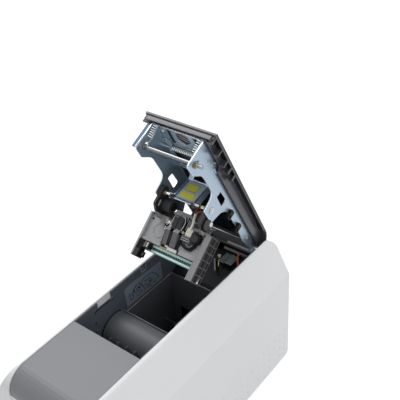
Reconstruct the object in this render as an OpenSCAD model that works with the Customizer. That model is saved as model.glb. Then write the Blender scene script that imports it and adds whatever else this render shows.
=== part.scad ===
/* [Body] */
// Width over the white side panels
body_w = 173; // [165:1:185]
// Room between the card hopper and the front face
front_room = 2.6; // [1:0.1:10]
// Distance from the hinge axis to the rear end
hinge_back = 17.9; // [16:0.1:24]
// Height of the top panels above the table
body_h = 222.5; // [218:0.5:230]
// Height of the rubber feet
foot_h = 4; // [3:0.5:6]
// Diameter of a rubber foot
foot_d = 20; // [14:1:26]
// Wall of the moulded shells
wall = 2.5; // [2:0.1:3]
// Height at which the side panels start to lean in
crease_z = 167; // [155:1:172]
// How far the side panels lean in for each millimetre that they rise
lean = 0.5; // [0.42:0.01:0.55]
// Radius of the rounding along the top of a side panel
top_round = 8; // [5:0.5:9]
// Half width of the opening between the side panels
opening_half = 55.4; // [55.2:0.1:56]
// Radius of the front top corner seen from the side
front_round = 30; // [20:1:36]
// Radius of the rear top corner seen from the side
rear_round = 18; // [12:1:22]
// Radius of both bottom corners seen from the side
bottom_round = 10; // [6:1:14]

/* [Bay] */
// Front edge of the bay, measured from the middle
bay_front_y = -82; // [-84:0.5:-80]
// Thickness of a bay liner
liner_t = 1.8; // [1.4:0.1:2]
// Top of the ribbon well's rim
well_rim_z = 170.5; // [166:0.5:172]
// Floor of the ribbon well
well_floor_z = 68; // [64:0.5:70]
// Half width of the ribbon well inside
well_half = 52.2; // [52:0.1:52.6]
// Thickness of the ribbon well's walls
well_t = 2; // [1.6:0.1:2.4]
// Front inner face of the ribbon well
well_front_y = -2; // [-3:0.1:-1.8]
// Rear inner face of the ribbon well
well_rear_y = 97; // [95:0.5:98]
// Radius of the drum-shaped roller hood
hood_r = 29; // [26:0.5:29.2]
// Middle of the hood's drum, front to rear
hood_y = -19.5; // [-21:0.5:-19]
// Middle of the hood's drum, height
hood_z = 155.6; // [152:0.2:156]
// Wall of the hood
hood_t = 2; // [1.6:0.1:2.4]

/* [Card path] */
// Height of the card bed's top
bed_z = 95; // [92:0.1:95]
// Thickness of the card bed
bed_t = 1.5; // [1:0.1:2]
// Width of a card
card_w = 54; // [54:0.1:54.4]
// Length of a card
card_l = 85.6; // [85.6:0.1:86]
// Height of the card stack that the hopper takes
stack_h = 80; // [60:1:86]
// Radius of the platen, feed and exit rollers
roller_r = 7.5; // [6:0.5:7.5]
// Radius of the cleaning roller
clean_r = 7; // [5:0.5:7]
// Radius of the pick roller
pick_r = 9; // [7:0.5:9]
// Radius of the roller shafts
shaft_r = 2.5; // [2:0.1:3]
// Half the distance between the transport plates
transport_half = 33; // [32.5:0.1:33.2]
// Thickness of a transport plate
transport_t = 1.5; // [1.2:0.1:1.8]
// Place of the feed roller, front to rear
feed_y = -64; // [-68:0.5:-62]
// Place of the exit roller, front to rear
exit_y = 120; // [116:0.5:122]
// Place of the pick roller, front to rear
pick_y = -122; // [-126:0.5:-118]
// Place of the cleaning roller, front to rear
clean_y = -40; // [-42:0.5:-38]

/* [Lid] */
// Hinge axis, front to rear
hinge_y = 173.6; // [172:0.1:174]
// Hinge axis, height
hinge_z = 195.3; // [194.5:0.1:196]
// Angle of the raised lid
lid_open = 64.1; // [50:0.1:66]
// Radius of a hinge pin
pin_r = 3; // [2:0.1:3.5]
// Half width of the lid cover
cover_half = 52.8; // [52:0.1:52.9]
// Distance from the hinge axis to the cover's outer face
cover_top = 26.5; // [25.5:0.1:26.6]
// Thickness of the cover
cover_t = 2.5; // [2:0.1:3]
// Radius of the cover's rear end
cover_round = 25; // [22:0.5:25]
// Distance from the hinge axis to the lid's free end
lid_len = 254.8; // [252:0.2:255]
// Half width over the steel lid frame
frame_half = 39.5; // [38.5:0.1:40]
// Thickness of the steel lid frame
frame_t = 1.5; // [1.2:0.1:1.8]
// Height of the frame's base plate over the hinge axis
plate_w = 17; // [16:0.1:18]

/* [Latch] */
// Place of the latch shaft along the lid
latch_u = 238.5; // [237:0.5:240]
// Height of the latch shaft over the hinge axis
latch_w = -11.5; // [-12:0.1:-10]
// Travel of the latch shaft in its slot
latch_travel = 5; // [3:0.5:5]
// Half length of the latch shaft
latch_half = 50; // [48:0.5:50.5]

/* [Print head] */
// Place of the head's pivot along the lid
pivot_u = 156; // [155:0.5:157]
// Height of the head's pivot over the hinge axis
pivot_w = -24.3; // [-25:0.1:-24]
// Angle by which the hanging head leans from its working place
head_lean = 29.2; // [28:0.1:30]
// Swing of the print head between its open stop and its working place
head_swing = 10; // [9:0.1:10.5]
// Half width over the head carrier's ends
carrier_half = 50.5; // [49:0.1:50.6]
// Half length of the print bar
bar_half = 37.8; // [36:0.1:38]

/* [Controls] */
// Diameter of the power button
button_d = 11; // [8:0.5:13]
// Travel of the power button
button_travel = 1.5; // [1:0.1:2]

/* [Fits] */
// Radial clearance of a shaft in its bearing
run_fit = 0.05; // [0.03:0.01:0.09]
// Gap between parts that stand next to each other
gap = 0.3; // [0.2:0.05:0.4]

/* [Hidden] */

half_w = body_w / 2;
sheet = 1.2;
round_fn = 48;
reveal = 1;
leg_front = [-96, -70];
leg_rear = [104, 150];
hopper_rear = leg_front[0] - gap;
hopper_front = hopper_rear - wall - card_l - 1;
front_end = hopper_front - front_room - wall - reveal;
rear_end = hinge_y + hinge_back;
body_l = rear_end - front_end;

// ---------- helpers ----------

// Unit vector along a
function unit(a) = a / norm(a);

// Points of an arc about c from angle a0 to a1
function arc(c, r, a0, a1, n = 10) =
    [for (i = [0:n]) c + r * [cos(a0 + (a1 - a0) * i / n), sin(a0 + (a1 - a0) * i / n)]];

// Shortest signed turn from angle a to angle b
function turn(a, b) = let (d = (b - a) % 360) d > 180 ? d - 360 : (d < -180 ? d + 360 : d);

// Arc that rounds corner p between a and b with radius r
function corner(a, p, b, r, n) =
    let (u = unit(a - p), v = unit(b - p), h = acos(u * v) / 2,
         c = p + unit(u + v) * r / sin(h), t = r / tan(h),
         s = p + u * t - c, e = p + v * t - c,
         a0 = atan2(s[1], s[0]), da = turn(a0, atan2(e[1], e[0])))
    arc(c, r, a0, a0 + da, n);

// Outline through points [x, y, radius] with each corner rounded by its radius
function rounded(p, n = 6) =
    [for (i = [0:len(p) - 1])
        let (q = p[i], a = p[(i + len(p) - 1) % len(p)], b = p[(i + 1) % len(p)])
        each q[2] > 0 ? corner([a[0], a[1]], [q[0], q[1]], [b[0], b[1]], q[2], n)
                      : [[q[0], q[1]]]];

// Rectangle from corner a to corner b with corners of radius r
function rect(a, b, r = 0) =
    rounded([[a[0], a[1], r], [b[0], a[1], r], [b[0], b[1], r], [a[0], b[1], r]]);

// Outline of a slot with round ends of radius r about points a and b
function capsule(a, b, r) =
    let (t = atan2(b[1] - a[1], b[0] - a[0]))
    concat(arc(b, r, t - 90, t + 90, 12), arc(a, r, t + 90, t + 270, 12));

// Sheet of thickness t whose outline lies in the Y-Z plane, standing on X = x
module sheet_x(x, t) {
    translate([x, 0, 0]) rotate([90, 0, 90]) linear_extrude(t) children();
}

// Sheet of thickness t whose outline lies in the X-Z plane, from Y = y rearward
module sheet_y(y, t) {
    translate([0, y + t, 0]) rotate([90, 0, 0]) linear_extrude(t) children();
}

// Box from corner a to corner b
module block(a, b) {
    translate(a) cube(b - a);
}

// Box that lies evenly about X = 0, half width w, from [y, z] a to [y, z] b
module mid_block(w, a, b) {
    block([-w, a[0], a[1]], [w, b[0], b[1]]);
}

// Round rod along X from x0 to x1 about [y, z] p
module rod(r, x0, x1, p = [0, 0]) {
    translate([x0, p[0], p[1]]) rotate([0, 90, 0]) cylinder(r = r, h = x1 - x0, $fn = round_fn);
}

// Both mirror twins, left and right
module both() {
    children();
    mirror([1, 0, 0]) children();
}

// Outline of a gear with straight-sided teeth
module gear_outline(teeth, module_size, phase = 0) {
    pitch = 360 / teeth;
    tip = teeth * module_size / 2 + 0.8 * module_size;
    root = teeth * module_size / 2 - 1.15 * module_size;
    polygon([for (i = [0:teeth - 1], k = [[-0.31, root], [-0.1, tip], [0.1, tip], [0.31, root]])
        let (a = phase + pitch * (i + k[0])) k[1] * [cos(a), sin(a)]]);
}

// Phase of a gear of b teeth in mesh with one of a teeth at phase 0, seen from it at angle reach
function mesh_phase(reach, a, b) = reach + 180 + 180 / b + reach * a / b;

// Gear with teeth about an X axis at [y, z] p, from x0 to x1
module gear(teeth, module_size, x0, x1, p, phase = 0) {
    translate([0, p[0], p[1]]) sheet_x(x0, x1 - x0) gear_outline(teeth, module_size, phase);
}

// Places children of the lid: local Y is -u along the lid and Z is w over the hinge axis
module in_lid() {
    translate([0, hinge_y, hinge_z]) rotate([-lid_open, 0, 0]) children();
}

// Sheet in the lid, its outline in u and w, standing on X = x
module lid_sheet(x, t) {
    mirror([0, 1, 0]) sheet_x(x, t) children();
}

// Box in the lid between [x, u, w] corners
module lid_block(a, b) {
    block([a[0], -b[1], a[2]], [b[0], -a[1], b[2]]);
}

// Rod along X in the lid about [u, w] p
module lid_rod(r, x0, x1, p) {
    rod(r, x0, x1, [-p[0], p[1]]);
}

// Places children of the print head as it hangs from the raised lid
module in_head() {
    in_lid() translate([0, -pivot_u, pivot_w]) rotate([head_lean, 0, 0]) children();
}

// Places children on the head carrier's face: Y is out of the face, Z is up from its top edge
module on_carrier() {
    translate([0, carrier_top[0], carrier_top[1]]) rotate([-carrier_lean, 0, 0]) children();
}

// ---------- body shell ----------

lip_t = 2;
lip_z = 196;
shell_bottom = foot_h;
face_y = front_end + reveal;
back_y = rear_end - reveal;
facet_in = (body_h - crease_z) * lean;

// Outline of the body seen from the side, drawn in by t
function side_outline(t) =
    rounded([[front_end + t, shell_bottom + t, bottom_round - t],
             [rear_end - t, shell_bottom + t, bottom_round - t],
             [rear_end - t, body_h - t, rear_round - t],
             [front_end + t, body_h - t, front_round - t]], 10);

// Half section of the body seen from the front, drawn in by t
function half_section(t) =
    let (s = t * (sqrt(1 + lean * lean) - lean))
    rounded([[0, shell_bottom + t, 0],
             [half_w - t, shell_bottom + t, 3],
             [half_w - t, crease_z - s, 0],
             [half_w - facet_in - s, body_h - t, top_round - t / 2],
             [0, body_h - t, 0]], 8);

// Solid body shape drawn in by t, for one half
module half_body(t) {
    intersection() {
        sheet_y(front_end, body_l) polygon(half_section(t));
        sheet_x(0, half_w) polygon(side_outline(t));
    }
}

module side_panel() {
    difference() {
        half_body(0);
        half_body(wall);
        block([-1, front_end - 1, 0], [opening_half, rear_end + 1, body_h + 1]);
        block([-1, front_end + wall, 0], [half_w - wall, rear_end - wall, foot_h + pan_lip]);
    }
    block([opening_half, front_end + front_round, lip_z],
          [opening_half + lip_t, rear_end - rear_round, body_h - wall / 2]);
}

module side_panel_right() {
    color("whitesmoke") side_panel();
}

module side_panel_left() {
    color("whitesmoke") mirror([1, 0, 0]) side_panel();
}

pan_room = 0.5;
pan_half = half_w - wall - pan_room;
pan_y = [face_y + wall + pan_room, back_y - wall - pan_room];
pan_lip = 12;
pan_top = foot_h + sheet;

module base_pan() {
    color("silver") difference() {
        mid_block(pan_half, [pan_y[0], foot_h], [pan_y[1], foot_h + pan_lip]);
        mid_block(pan_half - sheet, [pan_y[0] + sheet, pan_top], [pan_y[1] - sheet, body_h]);
        for (x = [-1, 1], y = feet_y)
            translate([x * foot_x, y, 0]) cylinder(r = foot_stem + run_fit, h = 20, $fn = 32);
        both() for (y = [-60:12:60])
            translate([pan_half - 22, y, foot_h - 1]) cube([12, 4, 4]);
    }
}

foot_x = half_w - 20;
feet_y = [front_end + 24, rear_end - 24];
foot_stem = 3;

module rubber_feet() {
    color("dimgray") for (x = [-1, 1], y = feet_y) translate([x * foot_x, y, 0]) {
        cylinder(d = foot_d, h = foot_h, $fn = round_fn);
        cylinder(r = foot_stem, h = foot_h + sheet + 1.5, $fn = 32);
    }
}

top_half = opening_half - gap;
fascia_top = body_h - front_round - 1 - gap;
fascia_in = face_y + wall;
door_half = 33;
door_z = [bed_z + 2, fascia_top - 5.2];
slot_z = [20, 70];
window_at = [44, fascia_top - 19.2];
window_size = [16, 11];
button_at = [window_at[0], window_at[1] - 22];

module top_panel() {
    color("gray") intersection() {
        difference() {
            sheet_x(-top_half, 2 * top_half) polygon(side_outline(reveal));
            sheet_x(-top_half - 1, 2 * top_half + 2) polygon(side_outline(reveal + wall));
        }
        mid_block(top_half, [front_end, body_h - front_round - 1], [bay_front_y, body_h]);
    }
}

module front_fascia() {
    color("whitesmoke") difference() {
        union() {
            sheet_y(face_y, wall) polygon(rect([-top_half, foot_h + gap], [top_half, fascia_top], 1.5));
            both() block([door_half + gap, fascia_in, door_axis[1] - 3],
                [door_half + gap + 4, fascia_in + 1.5, door_axis[1] + 3]);
        }
        mid_block(door_half + gap, [face_y - 1, door_axis[1] - 2.4], [fascia_in + 1, door_z[1] + gap]);
        rod(door_pin_r + run_fit, -door_half - 4, door_half + 4, door_axis);
        mid_block(bin_half, [face_y - 1, slot_z[0]], [fascia_in + 1, slot_z[1]]);
        translate([button_at[0], face_y - 1, button_at[1]]) rotate([-90, 0, 0])
            cylinder(d = button_d + 2 * button_gap, h = wall + 2, $fn = round_fn);
        translate([window_at[0], 0, window_at[1]])
            mid_block(window_size[0] / 2 + 0.1, [face_y - 1, -window_size[1] / 2 - 0.1],
                [fascia_in + 1, window_size[1] / 2 + 0.1]);
    }
}

module status_window() {
    color("black") translate([window_at[0], 0, window_at[1]]) {
        mid_block(window_size[0] / 2, [face_y + 0.4, -window_size[1] / 2],
            [fascia_in + 0.8, window_size[1] / 2]);
        mid_block(window_size[0] / 2 + 1.6, [fascia_in, -window_size[1] / 2 - 2],
            [fascia_in + 0.8, window_size[1] / 2 + 2]);
    }
}

back_in = back_y - wall;
screw_r = 3;
rear_screws = [for (x = [-1, 1], z = [44, 118, 182]) [x * (top_half - 6), z]];
rear_top_z = hinge_z + 0.7;
rear_top_y = hinge_y - 4.6;
exit_slot = [bed_z - 3, bed_z + 7];
fan_at = [0, 150];
fan_r = 18;
inlet_at = [-30, 30];
usb_at = [-8, 26];
net_at = [18, 28];
usb_size = [13, 12];
net_size = [17, 15];

module rear_panel() {
    color("dimgray") difference() {
        union() {
            sheet_y(back_in, wall) polygon(rect([-top_half, foot_h + gap], [top_half, rear_top_z]));
            mid_block(top_half, [rear_top_y, rear_top_z - wall], [back_y, rear_top_z]);
        }
        both() block([frame_half - frame_t - 1.5, rear_top_y - 1, rear_top_z - wall - 1],
            [bracket_x + bracket_t + pin_head_t + 1, hinge_y + hinge_boss + 1.5, rear_top_z + 1]);
        mid_block(card_w / 2 + 3, [back_in - 1, exit_slot[0]], [back_y + 1, exit_slot[1]]);
        for (a = [0:45:315])
            translate([fan_at[0], back_in - 1, fan_at[1]]) rotate([-90, 0, 0]) rotate([0, 0, a])
                translate([fan_r * 0.62, 0, 0]) cylinder(r = fan_r * 0.2, h = wall + 2, $fn = 24);
        translate([inlet_at[0], back_in - 1, inlet_at[1]]) rotate([-90, 0, 0])
            cylinder(r = inlet_r + 0.1, h = wall + 2, $fn = round_fn);
        for (s = [[usb_at, usb_size], [net_at, net_size]])
            translate([s[0][0], 0, s[0][1]])
                mid_block(s[1][0] / 2 + 0.1, [back_in - 1, -s[1][1] / 2 - 0.1],
                    [back_y + 1, s[1][1] / 2 + 0.1]);
        for (p = rear_screws) translate([p[0], back_y, p[1]]) rotate([90, 0, 0])
            cylinder(r = screw_r + gap, h = 1.2, $fn = 24);
    }
}

// ---------- bay ----------

liner_x = opening_half - 0.2 - liner_t;
liner_top = body_h - 1;
liner_low = 140;
frame_x = 62;
side_sheet = 1.5;
frame_top = 172;
notch_y = [-43, -18];
hook_notch = [40.5, 49.5];
notch_z = body_h - 11.5;

// Outline of a bay liner in Y and Z, with its finger notch and hook notch
function liner_outline() =
    concat([[bay_front_y + 1, liner_low], [well_front_y - well_t - gap, liner_low],
            [well_front_y - well_t - gap, well_rim_z + gap], [well_rear_y + well_t + gap, well_rim_z + gap],
            [well_rear_y + well_t + gap, liner_low], [hinge_y - 6, liner_low]],
        corner([hinge_y - 6, liner_low], [hinge_y - 6, liner_top], [0, liner_top], rear_round, 8),
        [for (n = [hook_notch, notch_y])
            each [[n[1], liner_top], [n[1], notch_z], [n[0], notch_z], [n[0], liner_top]]],
        [[bay_front_y + 1, liner_top]]);

module bay_liner() {
    sheet_x(liner_x, liner_t) polygon(liner_outline());
    for (y = [bay_front_y + 8, (well_rear_y + hinge_y) / 2])
        block([liner_x + liner_t, y, liner_low], [frame_x, y + 14, liner_low + 2]);
    for (y = [bay_front_y + 8, (well_rear_y + hinge_y) / 2])
        block([frame_x - side_sheet, y, liner_low + 2], [frame_x, y + 14, frame_top - 4]);
}

module bay_liner_right() {
    color("darkslategray") difference() {
        bay_liner();
        rod(hub_r + 1.5, liner_x - 1, liner_x + liner_t + 1, takeup_at);
    }
}

module bay_liner_left() {
    color("darkslategray") mirror([1, 0, 0]) bay_liner();
}

window_half = 40;

module ribbon_well() {
    color("#1c1d20") difference() {
        mid_block(well_half + well_t, [well_front_y - well_t, well_floor_z - well_t],
            [well_rear_y + well_t, well_rim_z]);
        mid_block(well_half, [well_front_y, well_floor_z], [well_rear_y, body_h]);
        mid_block(window_half, [well_front_y - well_t - 1, well_floor_z], [well_rear_y + well_t + 1, 112]);
        rod(hub_r + 1.5, well_half - 1, well_half + well_t + 1, supply_at);
    }
    color("#1c1d20") both() {
        block([well_half + well_t, 20, 96], [frame_x, 60, 98]);
        block([frame_x - 1.6, 20, 98], [frame_x, 60, 112]);
    }
}

hood_half = well_half - 0.4;
hood_floor = 136;
rib_y = -7.6;
rib_t = 1.6;
rib_z = 179;
apron_y = -62;
wall_y = bay_front_y + 1;

// Section of the drum-shaped hood in Y and Z
module hood_section() {
    c = [hood_y, hood_z];
    rear = acos((rib_y + rib_t - hood_y) / hood_r);
    rear_in = acos((rib_y + rib_t - hood_y) / (hood_r - hood_t));
    polygon(concat(arc(c, hood_r, rear, 190, 20), arc(c, hood_r - hood_t, 190, rear_in, 20)));
    front = c + hood_r * [cos(190), sin(190)];
    polygon([front + [0.8, 1.5], front + [hood_t + 0.9, 0], [apron_y + 2, hood_floor],
             [apron_y - 2, hood_floor], [apron_y - 2, hood_floor + hood_t]]);
    polygon(rect([wall_y, hood_floor], [apron_y, hood_floor + hood_t]));
    polygon(rect([wall_y, hood_floor], [wall_y + 1.6, hinge_z + lip_w - 1]));
    polygon(rect([rib_y, 112], [rib_y + rib_t, rib_z]));
}

// Solid fill of the hood's end seen from the side
module hood_end() {
    c = [hood_y, hood_z];
    rear = acos((rib_y + rib_t - hood_y) / hood_r);
    polygon(concat(arc(c, hood_r, rear, 190, 20), [[rib_y + rib_t, hood_floor]]));
}

fin_x = [-34, -20, -6, 8, 22, 36];

module roller_hood() {
    color("#26272a") difference() {
        union() {
            sheet_x(-hood_half, 2 * hood_half) hood_section();
            both() sheet_x(hood_half - hood_t, hood_t) hood_end();
            for (x = fin_x)
                sheet_x(x, 1.2) polygon([[apron_y - 1, hood_floor + 1], [hood_y - hood_r + 5, hood_z + 1],
                    [hood_y - hood_r + 2.5, 175], [hood_y - hood_r - 2, 176], [apron_y - 1, 158]]);
            both() sheet_x(hood_half, frame_x - hood_half)
                polygon(rect([wall_y + 2, hood_floor - 8], [wall_y + 14, hood_floor - 6]));
            both() block([hood_half - hood_t, wall_y + 2, hood_floor - 8],
                [hood_half, wall_y + 14, hood_floor + 1]);
        }
        rod(hub_r + 1.5, hood_half - hood_t - 1, hood_half + 1, takeup_at);
    }
}

deck_half = well_half - 0.4;
deck_front = well_rear_y + well_t + gap;
deck_low = 112;
deck_rear = hinge_y - 8;

// Outline of the rear deck in Y and Z, drawn in by t, its foot at height low
function deck_outline(t, low) =
    rounded([[deck_front + t, low, 0],
             [deck_rear - t, low, 0],
             [deck_rear - t, 188 - t, 4 - t],
             [150, 188 - t, 12],
             [128, 181 - t, 10],
             [deck_front + t, 172 - t, 10 - t]], 6);

module rear_deck() {
    color("#2a2b2f") difference() {
        union() {
            difference() {
                sheet_x(-deck_half, 2 * deck_half) polygon(deck_outline(0, deck_low));
                sheet_x(-deck_half + hood_t, 2 * (deck_half - hood_t))
                    polygon(deck_outline(hood_t, deck_low - 1));
            }
            both() block([deck_half, deck_front + 10, deck_low], [frame_x, deck_front + 24, deck_low + 2]);
        }
        for (x = [-42:6:42])
            block([x - 1.2, deck_front - 1, 128], [x + 1.2, deck_front + hood_t + 1, 158]);
        for (x = [12:5:37]) block([x, 134, 170], [x + 2.2, 146, 200]);
    }
}

catch_x = 45.5;
catch_t = 4;
latch_closed = [hinge_y - latch_u, hinge_z + latch_w];

module latch_catches() {
    c = latch_closed;
    color("silver") both() sheet_x(catch_x, catch_t) polygon([
        [wall_y + 1.6, c[1] - 20], [wall_y + 1.6, c[1] + 8], c + [-6, 8], c + [-1.7, 3.6],
        c + [-3.3, 1], c + [-3, -2.3], c + [0, -shaft_r - 0.7], c + [5, -shaft_r - 0.7],
        c + [5, -8], c + [-6, -20]]);
}

bracket_t = 3;
pin_head_t = 2;
hinge_boss = 8;
bracket_x = frame_half + gap;

module hinge_brackets() {
    color("silver") both() difference() {
        union() {
            sheet_x(bracket_x, bracket_t) polygon(concat(
                arc([hinge_y, hinge_z], hinge_boss, 180, 0, 16),
                [[hinge_y + hinge_boss, 120], [hinge_y - hinge_boss + 1.2, 120],
                 [hinge_y - hinge_boss + 1.2, hinge_z - 12], [hinge_y - hinge_boss, hinge_z - 8]]));
            block([bracket_x, hinge_y - hinge_boss + 1.2, 120], [frame_x, hinge_y + hinge_boss, 122]);
            block([frame_x - 2, hinge_y - hinge_boss + 1.2, 122], [frame_x, hinge_y + hinge_boss, 150]);
        }
        rod(pin_r, bracket_x - 1, bracket_x + bracket_t + 1, [hinge_y, hinge_z]);
    }
}

// ---------- frames and card transport ----------

// Vector v turned by angle a
function turned(v, a) = [v[0] * cos(a) - v[1] * sin(a), v[0] * sin(a) + v[1] * cos(a)];

carrier_top = [9.2, -30.7];
carrier_foot = [-7.9, -90.6];
carrier_lean = atan2(carrier_top[0] - carrier_foot[0], carrier_top[1] - carrier_foot[1]);
carrier_h = norm(carrier_top - carrier_foot);
bar_s = 38.5;
bar_h = 10.5;
bar_y = [5.6, 13.6];
print_edge = carrier_top + turned([bar_y[0], -bar_s - bar_h], -carrier_lean);
print_at = [hinge_y - pivot_u, hinge_z + pivot_w] + turned(print_edge, head_lean - head_swing);

proud = 0.3;
roll_z = bed_z + proud - roller_r;
platen_at = [print_at[0], roll_z];
feed_at = [feed_y, roll_z];
exit_at = [exit_y, roll_z];
pick_at = [pick_y, bed_z + proud - pick_r];
clean_at = [clean_y, bed_z + proud + gap + clean_r];
hub_r = 8;
takeup_at = [-24, 149];
supply_at = [76, 150];
bush_r = shaft_r + 1.6;
frame_y = [-150, 186];

module side_frames() {
    color("silver") both() difference() {
        union() {
            sheet_x(frame_x, side_sheet) polygon(rounded([
                [frame_y[0], pan_top, 0], [frame_y[1], pan_top, 0], [frame_y[1], frame_top, 6],
                [frame_y[0] + 50, frame_top, 6], [frame_y[0], 90, 8]]));
            block([frame_x, frame_y[0], pan_top], [frame_x + 12, frame_y[1], pan_top + side_sheet]);
        }
        for (y = [-130:46:146])
            sheet_x(frame_x - 1, side_sheet + 2) polygon(rect([y, 40], [y + 26, 62], 8));
        for (p = [takeup_at, supply_at]) rod(bush_r, frame_x - 1, frame_x + side_sheet + 1, p);
        for (y = feet_y) translate([foot_x, y, 0]) cylinder(r = foot_stem + gap, h = 2 * foot_h, $fn = 32);
    }
}

bridge_z = 78;
transport_rear = 184;
motor_at = [exit_y + 17, roll_z - 17];
gear_mod = 1;
exit_teeth = 36;
pinion_teeth = 12;
motor_r = 12;

// Outline of a transport plate in Y and Z
function transport_outline() =
    [[leg_front[0], pan_top], [leg_front[1], pan_top], [leg_front[1] + 8, bridge_z],
     [leg_rear[0] - 4, bridge_z], [leg_rear[0], pan_top], [leg_rear[1], pan_top],
     [leg_rear[1], bridge_z], [transport_rear, bridge_z + 4], [transport_rear, bed_z - bed_t],
     [leg_front[0], bed_z - bed_t]];

module transport_plates() {
    color("silver") both() difference() {
        union() {
            sheet_x(transport_half, transport_t) polygon(transport_outline());
            for (y = [leg_front[0] + 2, leg_rear[0] + 2])
                block([transport_half, y, pan_top], [transport_half + 10, y + 22, pan_top + transport_t]);
            sheet_x(transport_half, transport_t) difference() {
                polygon(rect([clean_at[0] - 9, bridge_z], [clean_at[0] + 9, clean_at[1] + 8], 2));
                polygon(rect([clean_at[0] - 4.5, bed_z - bed_t], [clean_at[0] + 4.5, bed_z]));
            }
        }
        for (p = [platen_at, feed_at, exit_at, clean_at])
            rod(bush_r, transport_half - 1, transport_half + transport_t + 1, p);
        rod(shaft_r + 1, transport_half - 1, transport_half + transport_t + 1, motor_at);
    }
}

module card_bed() {
    color("#303236") difference() {
        mid_block(transport_half + transport_t, [leg_front[0], bed_z - bed_t], [transport_rear, bed_z]);
        for (r = [[feed_at, roller_half], [exit_at, roller_half], [platen_at, platen_half]])
            mid_block(r[1] + 1, [r[0][0] - roller_r - 0.6, bed_z - bed_t - 1],
                [r[0][0] + roller_r + 0.6, bed_z + 1]);
        both() sheet_x(transport_half - 1, transport_t + 2)
            polygon(rect([clean_at[0] - 9.3, bed_z - bed_t - 1], [clean_at[0] + 9.3, bed_z + 1]));
        for (y = [-18, 60]) mid_block(12, [y - 5, bed_z - bed_t - 1], [y + 5, bed_z + 1]);
    }
}

roller_half = 28;
platen_half = 29;
belt_x = transport_half + transport_t + 0.5;
belt_w = 2.2;
pulley_r = 5;
belt_gap = 0.25;
belt_t = 1;

// Roller about an X axis at p with its shaft in both transport plates
module transport_roller(r, half, p, right_end) {
    rod(r, -half, half, p);
    rod(shaft_r, -transport_half - transport_t - 1, right_end, p);
}

module belt_pulley(p) {
    rod(pulley_r, belt_x, belt_x + belt_w, p);
}

module platen_roller() {
    color("#3a3a3c") transport_roller(roller_r, platen_half, platen_at, belt_x);
    color("white") belt_pulley(platen_at);
}

module feed_roller() {
    color("#3a3a3c") transport_roller(roller_r, roller_half, feed_at, belt_x);
    color("white") belt_pulley(feed_at);
}

gear_x = belt_x + belt_w + 0.6;
gear_w = 3.5;

module exit_roller() {
    color("#3a3a3c") transport_roller(roller_r, roller_half, exit_at, belt_x);
    color("white") belt_pulley(exit_at);
    color("ivory") rod(shaft_r, belt_x, gear_x + gear_w, exit_at);
    color("ivory") gear(exit_teeth, gear_mod, gear_x, gear_x + gear_w, exit_at, 0);
}

module motor_pinion() {
    reach = atan2(motor_at[1] - exit_at[1], motor_at[0] - exit_at[0]);
    color("goldenrod") {
        gear(pinion_teeth, gear_mod, gear_x, gear_x + gear_w, motor_at,
            mesh_phase(reach, exit_teeth, pinion_teeth));
        rod(shaft_r - 1, motor_face, gear_x, motor_at);
    }
}

motor_face = transport_half - 0.2;

module feed_motor() {
    color("dimgray") difference() {
        union() {
            rod(motor_r, -2, transport_half, motor_at);
            rod(motor_r - 4, -4, -2, motor_at);
        }
        rod(shaft_r + 0.5, motor_face - 0.3, transport_half + 1, motor_at);
    }
}

// Outline round both end pulleys, radius r
module belt_outline(r) {
    hull() for (p = [feed_at, exit_at]) translate(p) circle(r = r, $fn = round_fn);
}

module transport_belt() {
    color("black") sheet_x(belt_x, belt_w) difference() {
        belt_outline(pulley_r + belt_gap + belt_t);
        belt_outline(pulley_r + belt_gap);
    }
}

module cleaning_roller() {
    color("steelblue") {
        rod(clean_r, -roller_half, roller_half, clean_at);
        rod(shaft_r, -transport_half - transport_t - 1, transport_half + transport_t + 1, clean_at);
    }
}

// Flanged bush in a sheet whose face is at X = x, sheet thickness t
module bush(x, t, p) {
    difference() {
        union() {
            rod(bush_r - 0.02, x, x + t, p);
            rod(bush_r + 1.2, x - 0.8, x, p);
        }
        rod(shaft_r + run_fit, x - 2, x + t + 1, p);
    }
}

module roller_bushes() {
    color("ivory") {
        both() for (p = [platen_at, feed_at, exit_at, clean_at]) bush(transport_half, transport_t, p);
        bush(frame_x, side_sheet, takeup_at);
        bush(frame_x, side_sheet, supply_at);
        both() bush(hopper_half, wall, pick_at);
    }
}

// ---------- hopper and output bin ----------

hopper_half = card_w / 2 + 1;
hopper_top = bed_z + stack_h + 12;
hopper_floor = bed_z - 2;
bin_half = 31;

module card_hopper() {
    color("#3a3c40") difference() {
        union() {
            mid_block(hopper_half + wall, [hopper_front, hopper_floor], [hopper_rear, hopper_top]);
            both() block([hopper_half, pick_at[0] - 9, pick_at[1] - 9],
                [hopper_half + wall, pick_at[0] + 9, hopper_floor]);
            both() block([hopper_half + wall, hopper_rear - 22, hopper_floor],
                [frame_x, hopper_rear - 8, hopper_floor + wall]);
        }
        mid_block(hopper_half, [hopper_front - 1, hopper_floor + 2], [hopper_rear - wall, hopper_top + 1]);
        mid_block(roller_half - 1, [pick_at[0] - pick_r - 1, hopper_floor - 1],
            [pick_at[0] + pick_r + 1, hopper_floor + 3]);
        mid_block(hopper_half - 1, [hopper_rear - wall - 1, bed_z], [hopper_rear + 1, bed_z + 1.4]);
        both() rod(bush_r, hopper_half - 1, hopper_half + wall + 1, pick_at);
        block([-hopper_half - wall - 1, (hopper_front + hopper_rear) / 2 - 3, hopper_floor + 4],
            [-hopper_half + 1, (hopper_front + hopper_rear) / 2 + 3, hopper_top - 6]);
    }
}

weight_low = bed_z + 1;
weight_h = 7;

module card_weight() {
    mid = (hopper_front + hopper_rear) / 2;
    color("dimgray") {
        mid_block(hopper_half - 1, [hopper_front + 4, weight_low],
            [hopper_rear - wall - 1, weight_low + weight_h]);
        block([-hopper_half - wall - 3, mid - 2.6, weight_low + 2],
            [-hopper_half + 1, mid + 2.6, weight_low + weight_h]);
    }
}

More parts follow.
